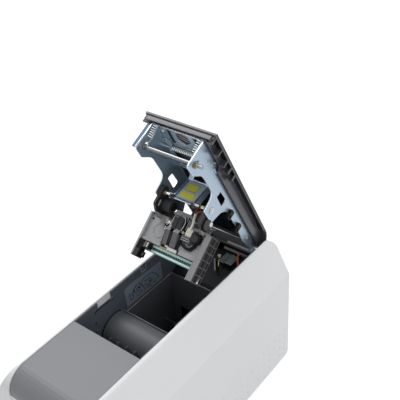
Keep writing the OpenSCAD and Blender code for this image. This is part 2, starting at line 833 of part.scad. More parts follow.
module pick_roller() {
    color("#3a3a3c") {
        rod(pick_r, -roller_half + 4, roller_half - 4, pick_at);
        rod(shaft_r, -hopper_half - wall - 1, hopper_half + wall + 1, pick_at);
    }
}

door_pin_r = 0.9;
door_axis = [face_y + wall / 2, door_z[0] + 1.6];

module hopper_door() {
    color("#4a4c50") difference() {
        union() {
            sheet_y(face_y, wall) polygon(rect([-door_half, door_z[0]], [door_half, door_z[1]], 1));
            rod(door_pin_r, -door_half - 3, door_half + 3, door_axis);
        }
        mid_block(13, [face_y - 1, door_z[1] - 16], [face_y + 1, door_z[1] - 8]);
    }
}

module output_bin() {
    color("#3a3c40") difference() {
        union() {
            mid_block(bin_half + wall, [fascia_in + gap, slot_z[0] - wall],
                [hopper_rear, slot_z[1] + wall]);
            both() block([bin_half + wall, -140, slot_z[0] - wall], [frame_x, -126, slot_z[0]]);
        }
        mid_block(bin_half, [front_end - 1, slot_z[0]], [hopper_rear - wall, slot_z[1]]);
        mid_block(card_w / 2 + 1, [hopper_rear - wall - 1, slot_z[1] - 16],
            [hopper_rear + 1, slot_z[1] - 8]);
        mid_block(14, [front_end - 1, slot_z[0] - wall - 1], [front_end + 22, slot_z[0] + 1]);
    }
}

button_gap = 0.4;

module power_button() {
    rim = button_travel + gap;
    color("silver") translate([button_at[0], face_y - reveal + 0.1, button_at[1]]) rotate([-90, 0, 0]) {
        cylinder(d = button_d, h = reveal + wall + rim, $fn = round_fn);
        translate([0, 0, reveal + wall + 0.1]) cylinder(d = button_d + 3, h = rim, $fn = round_fn);
    }
}

// ---------- electronics ----------

board_z = 14;
board_t = 1.6;
board_half = 30;
board_y = [20, 180];

module main_board() {
    color("darkgreen") {
        mid_block(board_half, [board_y[0], board_z], [board_y[1], board_z + board_t]);
        for (x = [-1, 1], y = [board_y[0] + 6, board_y[1] - 26])
            translate([x * (board_half - 5), y, pan_top]) cylinder(d = 6, h = board_z - pan_top, $fn = 24);
    }
    color("black") {
        block([-14, 60, board_z + board_t], [14, 88, board_z + 4.6]);
        block([-26, 96, board_z + board_t], [-8, 108, board_z + 3.6]);
        for (y = [32:14:74]) translate([22, y, board_z + board_t]) cylinder(d = 8, h = 12, $fn = 24);
    }
}

inlet_r = 6.5;

module power_inlet() {
    color("black") translate([inlet_at[0], back_y, inlet_at[1]]) rotate([90, 0, 0]) difference() {
        union() {
            cylinder(r = inlet_r, h = wall + 12, $fn = round_fn);
            translate([0, 0, wall]) cylinder(r = inlet_r + 2, h = 3, $fn = round_fn);
            translate([-5, -inlet_at[1] + board_z + board_t, wall + 3])
                cube([10, inlet_at[1] - board_z - 1.6, 9]);
        }
        translate([0, 0, -1]) cylinder(r = inlet_r - 1.5, h = 9, $fn = round_fn);
    }
}

// Box socket with a wall, open to the rear, seated on the board
module socket(at, size, wall_t) {
    half = size / 2;
    difference() {
        block([at[0] - half[0], back_y - 16, board_z + board_t],
            [at[0] + half[0], back_y, at[1] + half[1]]);
        block([at[0] - half[0] - 1, pan_y[1] - sheet - gap, board_z],
            [at[0] + half[0] + 1, back_y + 1, at[1] - half[1]]);
        block([at[0] - half[0] + wall_t, back_y - 10, at[1] - half[1] + wall_t],
            [at[0] + half[0] - wall_t, back_y + 1, at[1] + half[1] - wall_t]);
    }
}

module data_sockets() {
    color("silver") {
        socket(usb_at, usb_size, 2);
        socket(net_at, net_size, 2);
    }
}

ribbon_gear_x = frame_x + side_sheet + 1;
ribbon_mod = 0.8;
takeup_teeth = 48;
ribbon_teeth = 12;
ribbon_at = takeup_at + [(takeup_teeth + ribbon_teeth) * ribbon_mod / 2, 0];

motor_room = 2.5;

module ribbon_motor() {
    face = ribbon_gear_x + 5;
    color("dimgray") {
        difference() {
            rod(9, face, half_w - wall - motor_room, ribbon_at);
            rod(2, face - 1, face + 3, ribbon_at);
        }
        for (z = [-1, 1]) {
            block([face, ribbon_at[0] - 3, ribbon_at[1] + z * 9.5 - 2.5],
                [face + 2, ribbon_at[0] + 3, ribbon_at[1] + z * 9.5 + 2.5]);
            rod(1.5, frame_x + side_sheet, face, ribbon_at + [0, z * 10.5]);
        }
    }
}

module ribbon_pinion() {
    color("goldenrod") {
        gear(ribbon_teeth, ribbon_mod, ribbon_gear_x, ribbon_gear_x + 3.5, ribbon_at,
            mesh_phase(0, takeup_teeth, ribbon_teeth));
        rod(1.5, ribbon_gear_x, ribbon_gear_x + 6, ribbon_at);
    }
}

// Splined hub on a shaft through the right side frame
module hub(p, inner_x, gear_end) {
    rod(hub_r - 1.5, inner_x, inner_x + 7, p);
    for (a = [0:60:300])
        translate([inner_x, p[0], p[1]]) rotate([a, 0, 0]) translate([0, -1, 0]) cube([7, 2, hub_r - 0.2]);
    rod(shaft_r, inner_x + 7, gear_end, p);
}

module takeup_hub() {
    color("ivory") {
        hub(takeup_at, hood_half - 9, ribbon_gear_x);
        gear(takeup_teeth, ribbon_mod, ribbon_gear_x, ribbon_gear_x + 3, takeup_at, 0);
    }
}

module supply_hub() {
    color("ivory") {
        hub(supply_at, well_half - 8, ribbon_gear_x);
        rod(12, ribbon_gear_x, ribbon_gear_x + 3, supply_at);
    }
}

fan_depth = 10;

fan_pin_r = 1.5;
fan_back = 1;
fan_blades = 7;

module fan_frame() {
    y = back_in - fan_depth;
    color("#222326") {
        difference() {
            translate([fan_at[0], 0, fan_at[1]])
                mid_block(fan_r + 2, [y, -fan_r - 2], [y + fan_depth, fan_r + 2]);
            translate([fan_at[0], y - 1, fan_at[1]]) rotate([-90, 0, 0])
                cylinder(r = fan_r, h = fan_depth + 2, $fn = round_fn);
        }
        translate([fan_at[0], y, fan_at[1]]) rotate([-90, 0, 0]) {
            translate([0, 0, fan_depth - fan_back]) cylinder(r = 7, h = fan_back, $fn = round_fn);
            translate([0, 0, 3]) cylinder(r = fan_pin_r, h = fan_depth - 3, $fn = 24);
            for (a = [10:120:250]) rotate([0, 0, a])
                translate([-1, 5, fan_depth - fan_back]) cube([2, fan_r - 4, fan_back]);
        }
    }
}

module fan_rotor() {
    y = back_in - fan_depth;
    color("#2b2c30") translate([fan_at[0], y + 1, fan_at[1]]) rotate([-90, 0, 0]) difference() {
        union() {
            cylinder(r = 8, h = fan_depth - 3.4, $fn = round_fn);
            for (k = [0:fan_blades - 1])
                rotate([0, 0, k * 360 / fan_blades]) translate([7, 0, 0.6]) rotate([32, 0, 0])
                    translate([0, -0.5, 0]) cube([fan_r - 8.2, 1, 6]);
        }
        translate([0, 0, -1]) cylinder(r = fan_pin_r + run_fit, h = fan_depth, $fn = 24);
    }
}

// Pan-head screw with a cross slot, head upward
module screw_head(r, h) {
    difference() {
        cylinder(r = r, h = h, $fn = 24);
        for (a = [0, 90]) rotate([0, 0, a]) translate([-r * 0.62, -0.4, h - 0.8]) cube([r * 1.24, 0.8, 1]);
    }
}

module body_screws() {
    color("silver") {
        for (p = rear_screws)
            translate([p[0], back_y - 1.2, p[1]]) rotate([-90, 0, 0]) screw_head(screw_r, 1.6);
        translate([-40, 60, well_floor_z]) screw_head(screw_r, 1.6);
        both() for (y = [30, 50])
            translate([frame_x + side_sheet, y, 105]) rotate([0, 90, 0]) screw_head(screw_r, 1.8);
    }
}

// ---------- wires ----------

// Ring of points round a path point, square to the path
function ring(p, d, r, n) =
    let (t = unit(d), s = unit(cross(t, abs(t[0]) < 0.9 ? [1, 0, 0] : [0, 1, 0])), q = cross(t, s))
    [for (k = [0:n - 1]) p + r * (cos(360 * k / n) * s + sin(360 * k / n) * q)];

// Point on a smooth curve through four points at t from b to c
function between(a, b, c, d, t) =
    0.5 * (2 * b + (c - a) * t + (2 * a - 5 * b + 4 * c - d) * t * t + (3 * b - a - 3 * c + d) * t * t * t);

// Smooth path through points p with m steps for each stretch
function smooth(p, m) =
    [for (i = [0:len(p) - 2], k = [0:m - 1])
        between(p[max(i - 1, 0)], p[i], p[i + 1], p[min(i + 2, len(p) - 1)], k / m), p[len(p) - 1]];

// Tube of radius r with n sides along the path q
module tube(q, r, n = 8) {
    last = len(q) - 1;
    rings = [for (i = [0:last]) each ring(q[i], q[min(i + 1, last)] - q[max(i - 1, 0)], r, n)];
    faces = concat([[for (k = [0:n - 1]) k]], [[for (k = [n - 1:-1:0]) last * n + k]],
        [for (i = [0:last - 1], k = [0:n - 1])
            [i * n + k, (i + 1) * n + k, (i + 1) * n + (k + 1) % n, i * n + (k + 1) % n]]);
    polyhedron(rings, faces);
}

wire_r = 1;
wire_routes = [
    [[46, 131, 184], [46, 134, 196], [46, 141, 205], [46, 149, 202], [46, 155, 189]],
    [[49, 131, 184], [49, 135, 193], [49, 142, 199], [49, 148, 196], [49, 152, 189]]];

module deck_wires() {
    color("firebrick") for (w = wire_routes) tube(smooth(w, 5), wire_r);
}

// ---------- lid ----------

lip_w = 16;
lip_len = 4;
wall_in = [42, 44];
wall_low = 8.5;

// Outline of the cover's roof in u and w, thickness t under the outer face
function cover_roof(t) =
    concat([[lid_len, cover_top], [lid_len, cover_top - t]],
        arc([7 + cover_round, cover_top - cover_round], cover_round - t, 90, 165, 12),
        arc([7 + cover_round, cover_top - cover_round], cover_round, 165, 90, 12));

rib_from_end = [50.8, 40.8, 28.8, 16.8, 5.8];

module lid_cover() {
    color("#3b3c40") in_lid() {
        lid_sheet(-cover_half, 2 * cover_half) polygon(cover_roof(cover_t));
        lid_block([-cover_half, lid_len - lip_len, lip_w], [cover_half, lid_len, cover_top - 1]);
        both() lid_sheet(wall_in[0], wall_in[1] - wall_in[0]) polygon([
            [lid_len - 1, cover_top - 1], [lid_len - 1, lip_w], [lid_len - 16, wall_low], [30, wall_low],
            [14, wall_low - 3], [12, 16], [20, 23], [32, cover_top - 1]]);
        both() for (d = rib_from_end)
            lid_block([wall_in[1] - 0.5, lid_len - d, 13.5],
                [cover_half - 1.2, lid_len - d + 1.4, cover_top - 1]);
        both() lid_block([cover_half - 1.8, lid_len - 57, lip_w + 1],
            [cover_half - 0.4, lid_len - 1, cover_top - 1]);
        for (p = plate_screws) translate([p[0], -p[1], plate_w + frame_t])
            cylinder(r = 3.4, h = cover_top - plate_w - frame_t - 1, $fn = 24);
    }
}

// Outline of a frame flange in u and w
function flange_outline() =
    rounded([[3, 6.4, 0], [10.6, 5, 1], [14.4, 10.5, 1], [30, plate_w + frame_t, 3],
             [250, plate_w + frame_t, 2], [250, 6, 10], [249, -22.2, 3], [230, -22.3, 3],
             [214, -10.3, 18], [172.5, -10.3, 11], [168.3, -34.2, 3], [141.3, -34, 4],
             [133, -5, 20], [104, -5, 30], [77, -4.6, 30], [48, -7, 12], [24, -2.5, 8], [3, -7.6, 3]], 8);

leaf = [[-9, 240.4], [2.4, 245.4], [9.8, 241.8], [10.9, 228.3], [-1.1, 219.7], [-10.4, 226.7]];
window_u = [165, 210];
head_hole_u = [130, 157];
rear_hole_u = [46, 118];

module lid_frame() {
    color("lightsteelblue") in_lid() difference() {
        union() {
            both() lid_sheet(frame_half - frame_t, frame_t) union() {
                polygon(flange_outline());
                circle(r = hinge_boss, $fn = round_fn);
            }
            lid_block([-frame_half, 34, plate_w], [frame_half, 250, plate_w + frame_t]);
            both() lid_block([28, 249, plate_w - 3], [34, 250.4, plate_w + frame_t]);
            both() block([frame_half - 1, -204, 7], [frame_half + 2.2, -195, 8.5]);
        }
        both() lid_sheet(frame_half - frame_t - 1, frame_t + 2) {
            circle(r = pin_r + run_fit, $fn = round_fn);
            polygon(rounded([[163.8, -8.1, 2], [162, 1.6, 2], [141, 2.2, 2], [141.2, -9.2, 2]]));
            translate([pivot_u, pivot_w]) circle(r = shaft_r, $fn = round_fn);
            polygon(capsule([latch_u, latch_w],
                [latch_u, latch_w] + (latch_travel + gap) * latch_way, shaft_r + gap));
            translate(cross_at) circle(r = 1.5, $fn = 24);
            translate(spring_at) circle(r = 1.5, $fn = 24);
        }
        translate([0, 0, plate_w - 1]) mirror([0, 1, 0]) linear_extrude(frame_t + 2) {
            polygon(rounded([for (p = leaf) [p[0], p[1], 3]]));
            polygon(capsule([-20.2, 242], [-17.8, 217], 1.5));
            polygon(capsule([19.5, 241.6], [20.8, 227], 1.5));
            polygon(rect([-33, window_u[0]], [33, window_u[1]], 4));
            polygon(rect([-35, head_hole_u[0]], [35, head_hole_u[1]], 4));
            polygon(rect([-28, rear_hole_u[0]], [28, rear_hole_u[1]], 4));
        }
    }
}

latch_way = unit([-5, 13]);
cross_at = [46, -3.5];
spring_at = [208.5, 13.2];

module cross_rod() {
    color("silver") in_lid() lid_rod(1.5 - 0.02, -frame_half, frame_half, cross_at);
}

module spring_rod() {
    color("silver") in_lid() {
        lid_rod(1.5 - 0.02, -frame_half - 1, frame_half + 2.2, spring_at);
        both() lid_rod(3, frame_half, frame_half + 0.8, spring_at);
        for (x = [-32.4:2.4:32.4])
            translate([x, -spring_at[0], spring_at[1]]) rotate([0, 90, 0]) rotate_extrude($fn = 24)
                translate([2.6, 0]) circle(r = 0.6, $fn = 16);
    }
}

spring_x = 34;
spring_u = 246;
spring_coils = 8;

module latch_springs() {
    color("silver") in_lid() both() for (k = [0:spring_coils - 1])
        translate([spring_x - 0.5, -spring_u + 2.5 - k * 0.3, plate_w - 0.9 - k * 1.75])
            rotate_extrude($fn = 24) translate([2.6, 0]) circle(r = 0.6, $fn = 16);
}

module hinge_pins() {
    color("silver") in_lid() both() {
        rod(pin_r - 0.02, frame_half - frame_t - 1, bracket_x + bracket_t);
        rod(pin_r + 2, bracket_x + bracket_t, bracket_x + bracket_t + pin_head_t);
    }
}

plate_screws = [[-30, 236], [30, 236], [-33, 217], [33, 217], [-33, 124], [33, 124], [-32, 40], [32, 40]];

// Pan-head screw in the lid with its head under the base plate
module plate_screw(x, u) {
    translate([x, -u, plate_w]) mirror([0, 0, 1]) screw_head(2.8, 1.8);
}

clip_r = 4.4;
clip_t = 0.9;

module lid_screws() {
    color("silver") in_lid() {
        for (p = plate_screws) plate_screw(p[0], p[1]);
        both() {
            difference() {
                lid_rod(clip_r, frame_half, frame_half + clip_t, [pivot_u, pivot_w]);
                lid_rod(shaft_r, frame_half - 1, frame_half + clip_t + 1, [pivot_u, pivot_w]);
            }
            lid_rod(2.4, frame_half, frame_half + 1.5, [40, 3]);
        }
    }
}

module cable_clips() {
    color("black") in_lid() for (u = [118, 84])
        difference() {
            lid_sheet(frame_half, 4.5) polygon(rect([u - 4, -12], [u + 4, 1], 1.5));
            lid_sheet(frame_half - 1, 6.5) translate([u, -8]) circle(r = 2.2, $fn = 24);
        }
}

duct_u = [58, 108];

module lid_duct() {
    color("#30343a") in_lid() difference() {
        lid_block([-27, duct_u[0], -4], [27, duct_u[1], plate_w]);
        lid_block([-25, duct_u[0] + 2, -2], [25, duct_u[1] - 2, plate_w + 1]);
        for (u = [duct_u[0] + 6:5:duct_u[1] - 8]) lid_block([-20, u, -5], [20, u + 2.4, 0]);
    }
    color("#30343a") in_lid() both()
        lid_block([26, duct_u[0] + 4, plate_w - 2], [30.5, duct_u[1] - 6, plate_w]);
}

module latch_shaft() {
    color("gainsboro") in_lid() {
        lid_rod(shaft_r, -latch_half, latch_half, [latch_u, latch_w]);
        both() lid_rod(shaft_r + 2, frame_half + 0.5, frame_half + 1.3, [latch_u, latch_w]);
    }
}

// ---------- print head ----------

rod_at = [167.9, -30];
plate_half = 17.6;

module head_bracket() {
    top = plate_w;
    color("lightsteelblue") in_lid() difference() {
        union() {
            lid_sheet(-plate_half, 2 * plate_half)
                polygon([[161.6, -29], [153.1, top - 10], [151.6, top - 10.4], [160, -29.6]]);
            both() lid_sheet(plate_half - 7.6, 7.6) polygon([[153.6, top - 12], [151.4, top - 12],
                [158.4, top], [window_u[0], top], [window_u[0], top - 1.6], [159.6, top - 1.6]]);
            both() lid_sheet(plate_half - 1.4, 1.4) {
                polygon([[162, -30], [153.5, top - 10], [146, top - 10], [150, -16], [156, -29]]);
                polygon([[156, -29], [162, -24], [170.5, -29], [168, -32.6], [160, -32]]);
            }
            lid_rod(2, -27, 27, rod_at);
        }
        lid_rod(shaft_r, -frame_half, frame_half, [pivot_u, pivot_w]);
    }
}

module head_pivot_rod() {
    end_x = frame_half + 1.4;
    color("silver") in_lid() lid_rod(shaft_r - 0.02, -end_x, end_x, [pivot_u, pivot_w]);
}

arm_x = frame_half - frame_t - 4;
arm_t = 3;

// Outline of a head arm in Y and Z about the pivot
function arm_outline() =
    rounded([[-7, 8.5, 3], [4, 7.5, 4], [8, -2, 6], [13.4, -27, 2], [6.4, -35, 2], [-2, -32, 2],
             [-15, -16, 5], [-10, -2, 4]], 6);

top_tab = 13;
tower_x = [-10, 14];
ring_r = 10;

module head_carrier() {
    color("gray") in_head() {
        on_carrier() {
            // face plate
            block([-carrier_half + 1.5, 0, -bar_s + gap], [carrier_half - 8, 2.5, 0]);
            // left and right legs beside the print bar
            block([-carrier_half, -4, -carrier_h], [-carrier_half + 3, 2.5, 0]);
            block([bar_half + 0.4, -3, -carrier_h], [carrier_half - 8, 2.5, -bar_s + gap]);
            // raised middle of the top edge, and its low lip at the right
            block([-17, 0, -1], [10, 2.5, top_tab]);
            block([tower_x[1] + 0.5, -3, -2.5], [carrier_half - 8, 0.5, 0]);
            // shelf that holds the print bar
            block([-carrier_half + 2, 2, -bar_s + gap], [carrier_half - 8, 14, -bar_s + 2.4]);
            // embossed ring on the left
            translate([-28, 0.3, -19]) rotate([90, 0, 0]) difference() {
                cylinder(r = ring_r, h = 0.9, $fn = round_fn);
                cylinder(r = ring_r - 1.4, h = 2, center = true, $fn = round_fn);
            }
        }
    }
    color("#222326") in_head() both() difference() {
        sheet_x(arm_x, arm_t) polygon(arm_outline());
        rod(shaft_r + run_fit, 0, frame_half, [0, 0]);
        sheet_x(arm_x - 1, arm_t + 2) polygon(capsule([-6.2, -17.2], [-4, -12.4], 2));
    }
}

module print_bar() {
    color("teal") in_head() on_carrier() {
        block([-bar_half, bar_y[0], -bar_s - bar_h], [bar_half, bar_y[1], -bar_s]);
        for (s = [0.6, bar_h - 3.6])
            block([-bar_half, bar_y[0] - 0.7, -bar_s - s - 3], [bar_half, bar_y[0] + 0.2, -bar_s - s]);
        // heat sink behind the bar
        for (x = [-34:4:34])
            block([x - 0.8, bar_y[1] - 0.6, -bar_s - bar_h + 3], [x + 0.8, 24, -bar_s - 0.5]);
        block([-36, bar_y[1] - 0.6, -bar_s - bar_h + 1], [36, bar_y[1] + 1.4, -bar_s - 0.5]);
    }
}

rail_w = 8;
rail_front = -8;
rail_depth = 24;
rail_step = 10;
panel_depth = 1.2;

module head_rail() {
    x0 = carrier_half - rail_w + 0.01;
    rear = rail_front + rail_depth;
    color("#3a3b3e") in_head() on_carrier() difference() {
        block([x0, rail_front, -carrier_h], [carrier_half, rear, -1]);
        // shallow panels between the ribs on the side face
        for (s = [2:rail_step:carrier_h - rail_step])
            for (y = [[rail_front + 1.2, 3.4], [7.6, rear - 1.2]])
                block([carrier_half - panel_depth, y[0], -s - rail_step + 1.4], [carrier_half + 1, y[1], -s]);
        // long slot for the guide
        block([carrier_half - 3, 4.4, -carrier_h + 12], [carrier_half + 1, 6.6, -2.6]);
        // pocket of the contact at the lower end
        block([x0 + 1.6, rail_front - 1, -carrier_h - 1],
            [carrier_half - 1.6, rail_front + 5, -carrier_h + 9]);
        // hollow behind
        block([x0 - 1, rear - 12, -carrier_h + 3], [carrier_half - 3, rear - 1.6, -3]);
    }
}

// Section of a latch column in Y and Z, standing deep off the face plate
function column(deep) = [[0, -15], [-deep, -15], [1 - deep, -30], [-3, -36], [0, -36]];

module head_blocks() {
    color("#1d1e20") in_head() on_carrier() {
        // end block at the left, and its housing over the bar's end
        block([-carrier_half + 3, -5, -carrier_h], [-bar_half - 1, 6, -bar_s + gap]);
        block([-bar_half - 2, -4, -bar_s - bar_h + 1], [-29, bar_y[0] - 0.7 - gap, -bar_s + gap]);
        // tower at the top, its slim neighbour and the foot beside it
        block([tower_x[0], -9, -6], [8, 0, 6]);
        block([8, -6, -2], [tower_x[1], 0, 11]);
        block([-20, -6, -9.5], [-14, 0, -1.5]);
        // two latch columns
        sheet_x(-14, 8) polygon(column(10));
        sheet_x(-3, 11) polygon(column(10));
        // faceted flange and the boss above it
        translate([20.5, 0, -23]) rotate([90, 0, 0]) scale([1.15, 0.5, 1])
            cylinder(r = 10.5, h = 2.5, $fn = 8);
        translate([26.2, 0, -12]) rotate([90, 0, 0]) cylinder(r = 7.2, h = 6.5, $fn = 9);
    }
    color("white") in_head() on_carrier() {
        // plug of the head's cable
        block([14.5, -8, -11], [22, 0, -4]);
        block([-36.5, -5.5, -bar_s - 10], [-33.5, -4, -bar_s - 2]);
    }
}

cable_route = [[18.5, -8.4, -7.5], [18.5, -10.6, -7], [19.6, -12.6, -2], [19.8, -13, 6], [18, -12.6, 13]];

module head_cable() {
    color("white") in_head() on_carrier() tube(smooth(cable_route, 6), 1.6);
}

base_pan();
rubber_feet();
side_panel_left();
side_panel_right();
top_panel();
front_fascia();
rear_panel();
bay_liner_left();
bay_liner_right();
ribbon_well();
roller_hood();
rear_deck();
latch_catches();
hinge_brackets();
side_frames();
transport_plates();
card_bed();
card_hopper();
output_bin();
main_board();
power_inlet();
data_sockets();
feed_motor();
ribbon_motor();
fan_frame();
body_screws();
roller_bushes();
transport_belt();
deck_wires();
status_window();
platen_roller();
feed_roller();
exit_roller();
pick_roller();
cleaning_roller();
motor_pinion();
takeup_hub();
supply_hub();
ribbon_pinion();
fan_rotor();
power_button();
hopper_door();
card_weight();
lid_cover();
lid_frame();
hinge_pins();
cross_rod();
spring_rod();
latch_springs();
lid_screws();
cable_clips();
lid_duct();
latch_shaft();
head_bracket();
head_pivot_rod();
head_carrier();
print_bar();
head_rail();
head_blocks();
head_cable();
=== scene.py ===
"""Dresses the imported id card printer: studio, finishes and the fine pieces on each sub-assembly."""

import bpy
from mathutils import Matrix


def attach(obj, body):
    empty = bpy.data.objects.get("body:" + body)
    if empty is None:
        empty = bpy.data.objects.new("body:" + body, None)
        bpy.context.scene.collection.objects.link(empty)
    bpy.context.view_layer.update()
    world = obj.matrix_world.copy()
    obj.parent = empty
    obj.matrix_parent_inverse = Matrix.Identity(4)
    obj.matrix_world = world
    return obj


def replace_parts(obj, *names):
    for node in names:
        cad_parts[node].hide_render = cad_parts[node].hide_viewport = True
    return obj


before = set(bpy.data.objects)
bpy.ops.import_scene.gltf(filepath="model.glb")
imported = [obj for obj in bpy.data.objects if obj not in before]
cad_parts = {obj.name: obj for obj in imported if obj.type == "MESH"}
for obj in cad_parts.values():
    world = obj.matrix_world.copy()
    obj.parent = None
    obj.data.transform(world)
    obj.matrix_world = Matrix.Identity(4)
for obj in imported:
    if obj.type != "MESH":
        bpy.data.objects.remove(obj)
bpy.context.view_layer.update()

import logging
import math
from dataclasses import dataclass, field
from enum import Enum
from typing import Callable, ClassVar, Iterable, Sequence

import bmesh
import bpy
import numpy as np
from mathutils import Matrix, Vector

logging.basicConfig(level=logging.INFO, format="%(levelname)s %(message)s")
log = logging.getLogger("card_printer")

MM = 0.001
Place = tuple[float, float]
Triple = tuple[float, float, float]
Outline = tuple[Place, ...]
Corners = tuple[Triple, ...]

# Axes of a space; the second and third are u and w on the lid, and n and s on the head's carrier.
X, Y, Z = range(3)


# ---------------------------------------------------------------- spaces


class Space:
    """A local space, with its map from millimetres to the row frame in metres."""

    def __init__(self, to_world: Callable[[np.ndarray], np.ndarray]) -> None:
        """Args: to_world: maps an (n, 3) array of local millimetres to row millimetres."""
        self._map = to_world

    def points(self, local: np.ndarray | Sequence[Sequence[float]]) -> np.ndarray:
        """Returns local points as an (n, 3) array in metres in the row frame."""
        return self._map(np.asarray(local, float).reshape(-1, 3)) * MM


# Places in y and z of the hinge, and in u and w of the head's pivot; places of both ends of the carrier's
# face about the pivot; how far the lid is raised and the head is turned from its working place.
HINGE = (173.6, 195.3)
LID_OPEN = math.radians(64.1)
PIVOT = (156.0, -24.3)
HEAD_LEAN = math.radians(29.2)
CARRIER_TOP = (9.2, -30.7)
CARRIER_FOOT = (-7.9, -90.6)
CARRIER_LEAN = math.atan2(CARRIER_TOP[0] - CARRIER_FOOT[0], CARRIER_TOP[1] - CARRIER_FOOT[1])


def _lid_map(p: np.ndarray) -> np.ndarray:
    """Maps (x, u, w) of the raised lid to the row frame."""
    c, s = math.cos(LID_OPEN), math.sin(LID_OPEN)
    y, z = HINGE[0] - c * p[:, 1] + s * p[:, 2], HINGE[1] + s * p[:, 1] + c * p[:, 2]
    return np.column_stack((p[:, 0], y, z))


def _head_map(p: np.ndarray) -> np.ndarray:
    """Maps (x, y, z) about the head's pivot, as it works, to the row frame."""
    c, s = math.cos(HEAD_LEAN), math.sin(HEAD_LEAN)
    y, z = c * p[:, 1] - s * p[:, 2], s * p[:, 1] + c * p[:, 2]
    return _lid_map(np.column_stack((p[:, 0], PIVOT[0] - y, PIVOT[1] + z)))


def _carrier_map(p: np.ndarray) -> np.ndarray:
    """Maps (x, n, s) of the head carrier, n out of its face and s down from its top edge."""
    c, s = math.cos(CARRIER_LEAN), math.sin(CARRIER_LEAN)
    y, z = -p[:, 1], -p[:, 2]
    at_y, at_z = CARRIER_TOP[0] + c * y + s * z, CARRIER_TOP[1] - s * y + c * z
    return _head_map(np.column_stack((p[:, 0], at_y, at_z)))


BODY = Space(lambda p: p)
LID = Space(_lid_map)
HEAD = Space(_head_map)
CARRIER = Space(_carrier_map)


# ---------------------------------------------------------------- shader nodes


FLOAT = "NodeSocketFloat"
VECTOR = "NodeSocketVector"
Inputs = dict[str | int, object]


def set_inputs(tree: bpy.types.NodeTree, node: bpy.types.Node, ins: Inputs) -> None:
    """Links every socket given and sets every value given, by the input's name or number."""
    for key, value in ins.items():
        if isinstance(value, bpy.types.NodeSocket):
            tree.links.new(value, node.inputs[key])
        else:
            node.inputs[key].default_value = value


def add_node(tree: bpy.types.NodeTree, kind: str, ins: Inputs, **props: object) -> bpy.types.Node:
    """Adds a shader node.

    Args:
        tree: tree that gets the node.
        kind: type of the node without its ShaderNode prefix.
        ins: sockets to link and values to set, by the input's name or number.
        props: properties of the node, set before its inputs.
    Returns:
        The new node.
    """
    node = tree.nodes.new(f"ShaderNode{kind}")
    for name, value in props.items():
        setattr(node, name, value)
    set_inputs(tree, node, ins)
    return node


def calculate(tree: bpy.types.NodeTree, operation: str, *values: object) -> bpy.types.NodeSocket:
    """Returns the result of a new math node over the values, in their order."""
    return add_node(tree, "Math", dict(enumerate(values)), operation=operation).outputs[0]


def blend(tree: bpy.types.NodeTree, share: object, first: object, second: object) -> bpy.types.NodeSocket:
    """Returns the colour of a new node that goes from the first to the second with the share."""
    mix = add_node(tree, "Mix", {"Factor": share, "A": first, "B": second}, data_type="RGBA")
    return mix.outputs["Result"]


def grey(level: float) -> tuple[float, float, float, float]:
    """Returns an opaque grey."""
    return (level, level, level, 1.0)


# ---------------------------------------------------------------- finishes


class Grain(Enum):
    """Kinds of fine surface structure."""

    NONE = "none"
    FINE = "fine"
    BRUSHED = "brushed"


@dataclass(frozen=True)
class Finish:
    """Look of one material.

    Attributes: name, colour and its slow variation, roughness, metallic, coat, specular level, grain with
    its size in millimetres and depth, and edge, the colour that edges take with its strength: a painted
    highlight along edges, on the steel also bare metal.
    arms is the colour of the head's side arms, where they share a mesh with the carrier.
    """

    name: str
    colour: Triple
    rough: float = 0.5
    metal: float = 0.0
    coat: float = 0.0
    spec: float = 0.5
    grain: Grain = Grain.FINE
    grain_mm: float = 0.6
    depth: float = 0.05
    vary: float = 0.06
    edge: Triple = (1.0, 1.0, 1.0)
    edge_mix: float = 0.0
    edge_mm: float = 0.5
    arms: Triple | None = None


